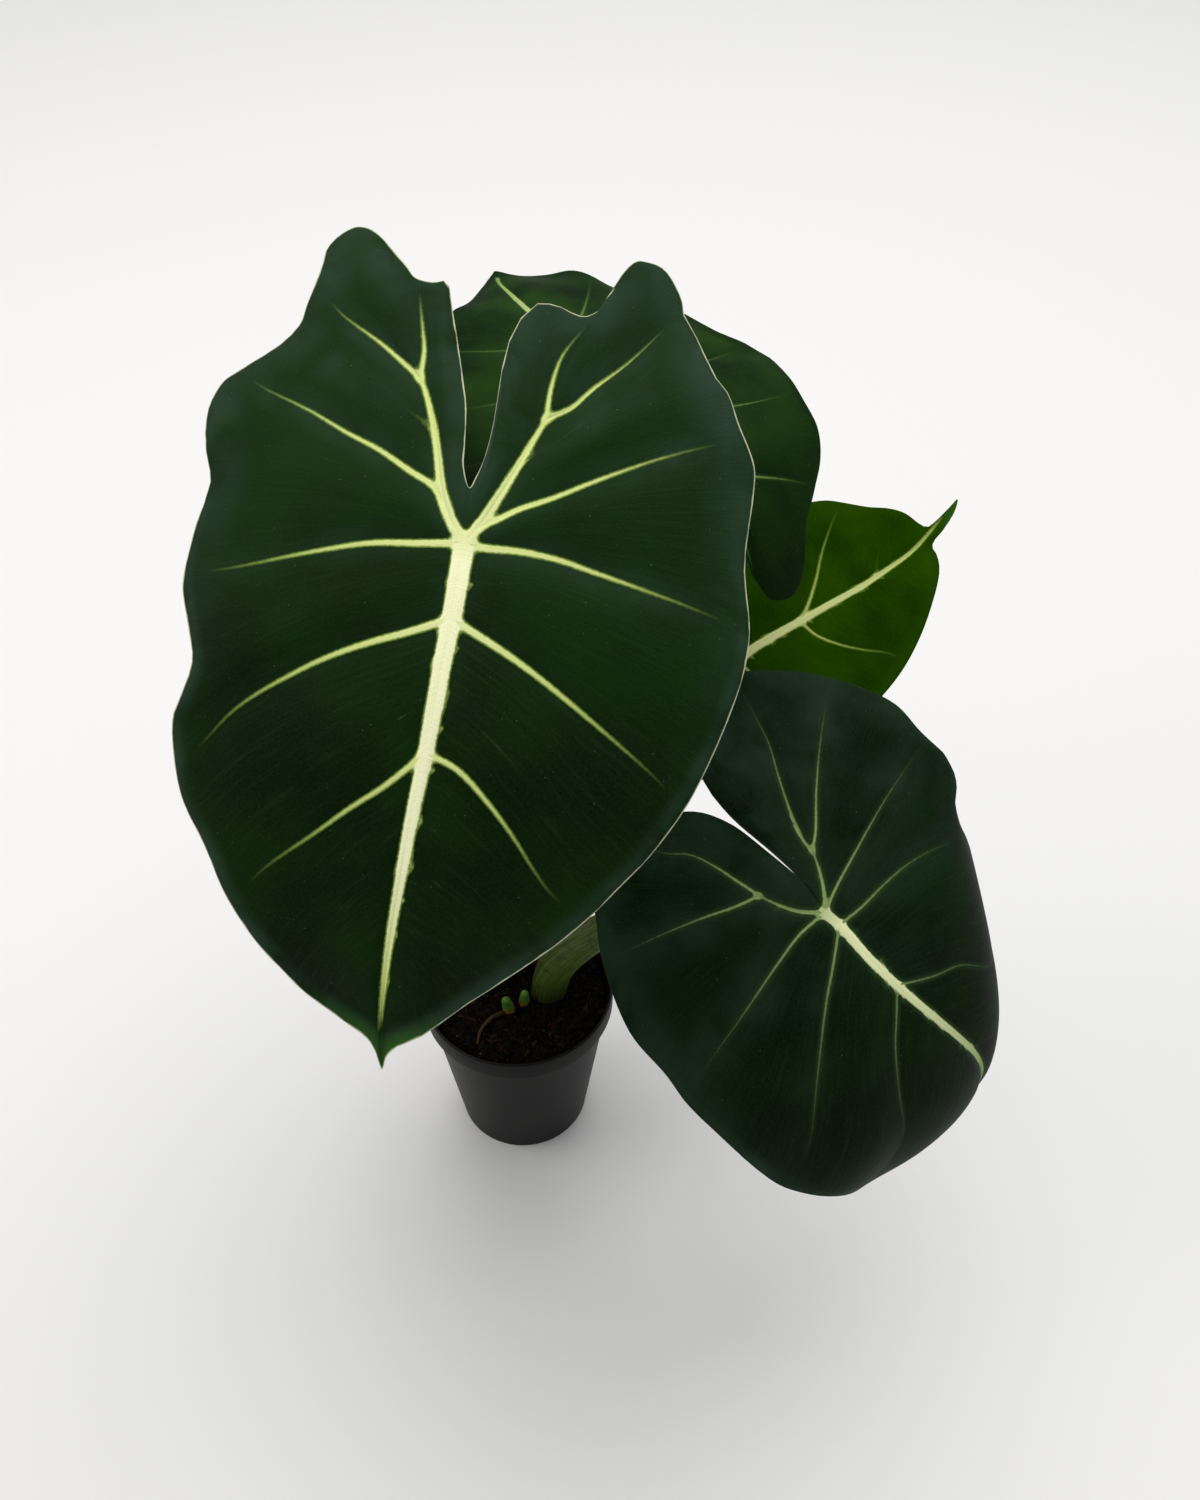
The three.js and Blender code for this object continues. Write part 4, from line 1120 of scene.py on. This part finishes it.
def stemSkin(name, look):
    material, tree = newMaterial(name)
    place, around = valuesOf(tree, "stemPlace", "stemAround")
    angle = times(tree, around, 2 * math.pi)
    east, north = maths(tree, "COSINE", angle), maths(tree, "SINE", angle)
    grain = outputOf(tree, "ShaderNodeCombineXYZ", {"X": east, "Y": north, "Z": place})
    lines = noise(tree, grain, *stemPattern["lines"][:2])
    mottle = noise(tree, placeIn(tree), *stemPattern["mottle"])
    colour = mixed(tree, spread(tree, lines, *stemPattern["lines"][2:]), look["green"], look["pale"])
    colour = mixed(tree, spread(tree, mottle, *stemPattern["mottleRange"]), colour, look["dark"])
    # The foot colour low down; on the petioles it is partly painted shade near the soil
    start, over = look["baseRange"]
    lowDown = ease(tree, place, start, start + over, stemPattern["baseShare"], 0)
    colour = mixed(tree, lowDown, colour, look["base"])
    colour = mixed(tree, ease(tree, place, *stemPattern["topRange"]), colour, look["top"])
    addShader(tree, colour, stemPattern["roughness"], stemPattern["specular"],
              bump(tree, lines, *stemPattern["relief"]), stemPattern["glow"])
    return material


def makeStem(name, path, shape, slot, node):
    line, radius, share = path
    seedMesh = bpy.data.meshes.new(name + "Line")
    seedMesh.from_pydata((line * millimetre).tolist(), [(i, i + 1) for i in range(len(line) - 1)], [])
    addAttribute(seedMesh, "stemRadius", radius * millimetre)
    addAttribute(seedMesh, "stemPlace", share)
    depth, end = shape["groove"]
    stem = grownPiece(name, seedMesh, stemTree, {"Sides": shape["sides"], "Groove Depth": depth,
                                                 "Groove End": end, "Skin": stemSkins[slot]})
    finishPiece(stem, node)


print("Petioles and sprouts")
stemTree = makeStemTree()
stemSkins = {
    "petiole": stemSkin("petioleSkin", petioleLook),
    "sprout": stemSkin("sproutSkin", sproutLook),
    "soil": stemSkin("dryStalk", stalkLook),
}
for name, leaf in leaves.items():
    makeStem(f"petiole{name.capitalize()}", petiolePath(leaf), stems, "petiole", f"petiole_{name}")
for name, shoot in shoots.items():
    makeStem(name, shootPath(shoot), shoot, shoot["slot"], shoot["node"])


# Pot: a thin moulded nursery pot with a stepped rim band and six drain holes
pot = {
    "height": 78,
    "rimRadius": 38,
    "rimBand": 9,
    "rimStep": 2.2,
    "lip": 1.5,              # how far the mouth goes straight down inside
    "baseRadius": 26.5,
    "wall": 1.3,
    "floor": 1.6,
    "floorRing": 2.5,        # width of the ring between the wall and the filled floor
    "edge": 0.7,
    "edgeSteps": 4,
    "drainHoles": 6,
    "drainRadius": 3.2,
    "drainCircle": 18,
    "drainFacets": 32,
    "facets": 144,
    "joined": 1e-6,          # metres within which points become one
}


def insideRadius(height):
    foot = pot["baseRadius"] - pot["wall"]
    mouth = pot["rimRadius"] - pot["rimStep"] - pot["wall"]
    return foot + (mouth - foot) * height / (pot["height"] - pot["rimBand"])


def roundedProfile(corners):
    # Rounds the inner corners of a profile of (r, z) points
    corners = np.asarray(corners, float)
    rounded = [corners[0]]
    for before, corner, after in zip(corners, corners[1:], corners[2:]):
        inward, outward = before - corner, after - corner
        cut = min(pot["edge"], np.linalg.norm(inward) / 2, np.linalg.norm(outward) / 2)
        start = corner + inward / np.linalg.norm(inward) * cut
        end = corner + outward / np.linalg.norm(outward) * cut
        for step in range(pot["edgeSteps"] + 1):
            t = step / pot["edgeSteps"]
            rounded.append((1 - t) ** 2 * start + 2 * t * (1 - t) * corner + t ** 2 * end)
    rounded.append(corners[-1])
    return rounded


def ringPoints(radius, height, count, centre=(0, 0)):
    angles = np.arange(count) * 2 * np.pi / count
    return np.stack([centre[0] + radius * np.cos(angles), centre[1] + radius * np.sin(angles),
                     np.full(count, height)], 1)


def fillFloor(shape, radius, height):
    # One side of the floor, filled round its drain holes. Returns the rim of every hole.
    loops = [(radius, pot["facets"], (0, 0))]
    for i in range(pot["drainHoles"]):
        angle = 2 * math.pi * i / pot["drainHoles"]
        centre = pot["drainCircle"] * math.cos(angle), pot["drainCircle"] * math.sin(angle)
        loops.append((pot["drainRadius"], pot["drainFacets"], centre))
    edges, rims = [], []
    for loopRadius, count, centre in loops:
        loop = [shape.verts.new(Vector(point) * millimetre)
                for point in ringPoints(loopRadius, height, count, centre)]
        edges += [shape.edges.new((a, b)) for a, b in zip(loop, loop[1:] + loop[:1])]
        rims.append(loop)
    facing = (0, 0, 1 if height else -1)
    filled = bmesh.ops.triangle_fill(shape, use_beauty=True, edges=edges, normal=facing)
    for face in filled["geom"]:
        if isinstance(face, bmesh.types.BMFace):
            face.smooth = False
    return rims[1:]


def makePot(finish):
    band = pot["height"] - pot["rimBand"]
    mouth = pot["rimRadius"] - pot["wall"]
    floorEnd = insideRadius(pot["floor"])
    profile = roundedProfile([
        (pot["baseRadius"] - pot["floorRing"], 0), (pot["baseRadius"], 0),
        (pot["rimRadius"] - pot["rimStep"], band), (pot["rimRadius"], band),
        (pot["rimRadius"], pot["height"]), (mouth, pot["height"]), (mouth, pot["height"] - pot["lip"]),
        (insideRadius(band), band), (floorEnd, pot["floor"]), (floorEnd - pot["floorRing"], pot["floor"]),
    ])
    facets = pot["facets"]
    points = np.concatenate([ringPoints(r, z, facets) for r, z in profile])
    faces = [(row * facets + i, row * facets + (i + 1) % facets, (row + 1) * facets + (i + 1) % facets,
              (row + 1) * facets + i) for row in range(len(profile) - 1) for i in range(facets)]
    piece = addPiece("nurseryPot", points, faces, [finish])
    shape = bmesh.new()
    shape.from_mesh(piece.data)
    below = fillFloor(shape, profile[0][0], 0)
    above = fillFloor(shape, profile[-1][0], pot["floor"])
    for lower, upper in zip(below, above):
        for corners in zip(lower, upper, upper[1:] + upper[:1], lower[1:] + lower[:1]):
            shape.faces.new(corners)
    bmesh.ops.remove_doubles(shape, verts=shape.verts, dist=pot["joined"])
    bmesh.ops.recalc_face_normals(shape, faces=shape.faces)
    shape.to_mesh(piece.data)
    shape.free()
    return piece


# Moulded black plastic, a little dusty, with a fine grain
potLook = {
    "plastic": "#070707",
    "dust": "#15130f",
    "dustNoise": (60, 6, 0.7),
    "dustRange": (0.5, 0.8, 0, 0.6),
    "gritNoise": (1500, 2),
    "gritRelief": (0.15, 0.2),
    "roughness": 0.5,
    "specular": 0.14,
}
print("Pot")
potPlastic, tree = newMaterial("mouldedPlastic")
where = placeIn(tree)
dustShare = spread(tree, noise(tree, where, *potLook["dustNoise"]), *potLook["dustRange"])
grit = noise(tree, where, *potLook["gritNoise"])
addShader(tree, mixed(tree, dustShare, potLook["plastic"], potLook["dust"]), potLook["roughness"],
          potLook["specular"], bump(tree, grit, *potLook["gritRelief"]))
finishPiece(makePot(potPlastic), "pot")


# Soil: a dark damp bed, its peat colour darkened further as painted shade from the leaves above, with crumbs
# of peat, bark chips, moss and a few reddish bits lying on it
soil = {
    "level": 72.5,
    "relief": 0.9,
    "fineRelief": 0.45,      # share of the relief that its finer waves have
    "crumble": 0.22,
    "coarseWaves": (0.31, 1.7, 0.27, -0.6),      # turns in radians for each millimetre, and shifts
    "fineWaves": (0.83, -0.4, 0.71, 0.5, 2),
    "crumbleWaves": (2.9, 1.3, 2.3, 3.1, 0.8, 1.9),
    "rings": 70,
    "facets": 160,
    "clearance": 0.25,       # gap between the bed and the wall
    "rimDrop": 0.6,
    "skirt": 6,
}
bits = {
    "peatCrumbs": {"Count": 5200, "Detail": 1, "Smallest": 0.35, "Largest": 1.25, "Flatness": 0.75,
                   "Length": 1.2, "Seed": 4, "look": ("peatCrumb", "#060403", "#1d150f", 0.9)},
    "barkChips": {"Count": 170, "Detail": 2, "Smallest": 0.7, "Largest": 1.5, "Flatness": 0.3,
                  "Length": 2.4, "Seed": 9, "look": ("barkChip", "#0f0906", "#33201a", 0.8)},
    "mossSpecks": {"Count": 420, "Detail": 1, "Smallest": 0.18, "Largest": 0.5, "Flatness": 0.8,
                   "Length": 1.2, "Seed": 12, "look": ("mossSpeck", "#2c4716", "#5d8a2c", 0.8)},
    "reddishBits": {"Count": 60, "Detail": 1, "Smallest": 0.3, "Largest": 0.8, "Flatness": 0.6,
                    "Length": 1.8, "Seed": 21, "look": ("reddishBit", "#4a1c12", "#8a4a2e", 0.8)},
}
scatter = {
    "lumps": (1.3, 1),               # noise scale and detail of a bit's lumps
    "lumpRange": (0.25, 0.75, -0.5, 0.5),
    "leastTurn": (-0.45, -0.45, 0),
    "mostTurn": (0.45, 0.45, 6.283),
    "shadeSeed": 77,
}


def soilHeight(x, y):
    a, b, c, d = soil["coarseWaves"]
    coarse = np.sin(a * x + b) * np.cos(c * y + d)
    a, b, c, d, e = soil["fineWaves"]
    fine = np.sin(a * x + b * y) + np.cos(c * y + d * x + e)
    return soil["level"] + soil["relief"] * (coarse + soil["fineRelief"] * fine)


def makeSoilBed(finish):
    outer = insideRadius(soil["level"]) - soil["clearance"]
    count, rings = soil["facets"], soil["rings"]
    angles = np.arange(count) * 2 * np.pi / count
    a, b, c, d, e, f = soil["crumbleWaves"]
    points = [(0, 0, soilHeight(0, 0))]
    for ring in range(1, rings + 1):
        x, y = outer * ring / rings * np.cos(angles), outer * ring / rings * np.sin(angles)
        waves = np.sin(a * x + b * np.sin(c * y)) * np.cos(d * y + e * np.sin(f * x))
        drop = soil["rimDrop"] if ring == rings else 0
        points += list(zip(x, y, soilHeight(x, y) + soil["crumble"] * waves - drop))
    # A skirt closes the bed against the wall
    points += [(x, y, soil["level"] - soil["skirt"]) for x, y, z in points[-count:]]
    at = lambda ring, i: 1 + (ring - 1) * count + i % count
    faces = [(0, at(1, i), at(1, i + 1)) for i in range(count)]
    faces += [(at(ring, i), at(ring + 1, i), at(ring + 1, i + 1), at(ring, i + 1))
              for ring in range(1, rings + 1) for i in range(count)]
    return addPiece("soilBed", points, faces, [finish])


def soilSurface(bed):
    # The bed without its outer ring and skirt, where loose bits may lie
    inner = [v.co[:] for v in bed.data.vertices[:-soil["facets"]]]
    limit = len(inner) - soil["facets"]
    surface = bpy.data.meshes.new("soilSurface")
    surface.from_pydata(inner, [], [p.vertices[:] for p in bed.data.polygons if max(p.vertices) < limit])
    return surface


def randomValue(tree, kind, least, most, seed):
    # Socket identifiers differ between numbers and vectors, and so does the output's place
    suffix, place = ("_001", 1) if kind == "FLOAT" else ("", 0)
    inputs = {"Min" + suffix: least, "Max" + suffix: most, "Seed": seed}
    return addNode(tree, "FunctionNodeRandomValue", inputs, data_type=kind).outputs[place]


def makeScatterTree():
    # Lumpy bits strewn over a mesh, each with its own size, turn and shade
    tree, given = newTree("soilScatter", {
        "Count": "Float", "Detail": "Int", "Smallest": "Float", "Largest": "Float", "Flatness": "Float",
        "Length": "Float", "Seed": "Int", "Skin": "Material"})
    strewn = outputOf(tree, "GeometryNodeDistributePointsOnFaces",
                      {"Mesh": given["Geometry"], "Density": given["Count"], "Seed": given["Seed"]})
    ball = outputOf(tree, "GeometryNodeMeshIcoSphere", {"Radius": 1.0, "Subdivisions": given["Detail"]})
    spot = outputOf(tree, "GeometryNodeInputPosition")
    swell = spread(tree, noise(tree, spot, *scatter["lumps"]), *scatter["lumpRange"])
    push = scaled(tree, spot, swell)
    lump = outputOf(tree, "GeometryNodeSetPosition", {"Geometry": ball, "Offset": push})
    size = randomValue(tree, "FLOAT", given["Smallest"], given["Largest"], given["Seed"])
    shape = outputOf(tree, "ShaderNodeCombineXYZ", {"X": given["Length"], "Y": 1.0, "Z": given["Flatness"]})
    turn = randomValue(tree, "FLOAT_VECTOR", scatter["leastTurn"], scatter["mostTurn"], given["Seed"])
    placed = outputOf(tree, "GeometryNodeInstanceOnPoints", {
        "Points": strewn, "Instance": lump, "Rotation": turn,
        "Scale": scaled(tree, shape, times(tree, size, millimetre))})
    shade = randomValue(tree, "FLOAT", 0.0, 1.0, scatter["shadeSeed"])
    shaded = outputOf(tree, "GeometryNodeStoreNamedAttribute",
                      {"Geometry": placed, "Name": "bitShade", "Value": shade}, domain="INSTANCE")
    finishTree(tree, shaded, given["Skin"])
    return tree


# Crumbly matter between two colours, each bit with its own shade
earthPattern = {
    "speckle": (900, 4),
    "relief": (0.6, 0.5),
    "roughness": 0.9,
    "specular": 0.06,
}


def earthSkin(name, dark, light, roughness=earthPattern["roughness"]):
    material, tree = newMaterial(name)
    shade, = valuesOf(tree, "bitShade")
    speckle = noise(tree, placeIn(tree), *earthPattern["speckle"])
    colour = mixed(tree, times(tree, shade, speckle), dark, light)
    relief = bump(tree, speckle, *earthPattern["relief"])
    addShader(tree, colour, roughness, earthPattern["specular"], relief)
    return material


print("Soil")
# The bed's peat colours are darker than the peat's own: painted shade from the leaves above
bed = makeSoilBed(earthSkin("peatWithPaintedShade", "#060403", "#130e0a"))
finishPiece(bed, "soil")
bedArea = math.pi * (insideRadius(soil["level"]) * millimetre) ** 2
scatterTree = makeScatterTree()
for name, bit in bits.items():
    wanted = dict(bit, Count=bit["Count"] / bedArea, Skin=earthSkin(*bit["look"]))
    piece = grownPiece(name, soilSurface(bed), scatterTree, wanted)
    finishPiece(piece, "soil")
    print("  soil", name, len(piece.data.polygons), "faces")

# Rhizome: it stays as it is in the CAD, buried in the soil, with a corky skin
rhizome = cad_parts["rhizome"]
rhizome.data.materials.clear()
rhizome.data.materials.append(earthSkin("corkyBark", "#2b1c12", "#6a4a32"))


# Stage: a plain pale floor, and soft light from above
stage = {
    "floor": "#f3f3f4",
    "roughness": 0.9,
    "specular": 0.1,
    "sky": "#f1f2f4",
    "skyStrength": 0.52,
    "size": 30,
    "aim": (0.03, 0, 0.25),
}
softLights = {
    "topLight": {"place": (0.25, 0.6, 2.1), "size": 2.2, "power": 29, "colour": "#fffdf8"},
    "windowLight": {"place": (-1.3, -0.1, 1.5), "size": 1.2, "power": 7, "colour": "#fffaf0"},
}
print("Stage and lights")
floorMaterial, tree = newMaterial("matteFloor")
addShader(tree, stage["floor"], stage["roughness"], stage["specular"])
half = stage["size"] / 2 / millimetre
floor = addPiece("floor", [(-half, -half, 0), (half, -half, 0), (half, half, 0), (-half, half, 0)],
                 [(0, 1, 2, 3)], [floorMaterial])
world = bpy.data.worlds.new("softSky")
world.use_nodes = True
sky = world.node_tree.nodes["Background"].inputs
sky["Color"].default_value = linearColour(stage["sky"])
sky["Strength"].default_value = stage["skyStrength"]
bpy.context.scene.world = world
bpy.context.scene.view_settings.view_transform = "Standard"
for name, light in softLights.items():
    lamp = bpy.data.lights.new(name, "AREA")
    lamp.shape = "DISK"
    lamp.size = light["size"]
    lamp.energy = light["power"]
    lamp.color = linearColour(light["colour"])[:3]
    aim = Vector(stage["aim"]) - Vector(light["place"])
    addObject(name, lamp, location=light["place"], rotation_euler=aim.to_track_quat("-Z", "Y").to_euler())
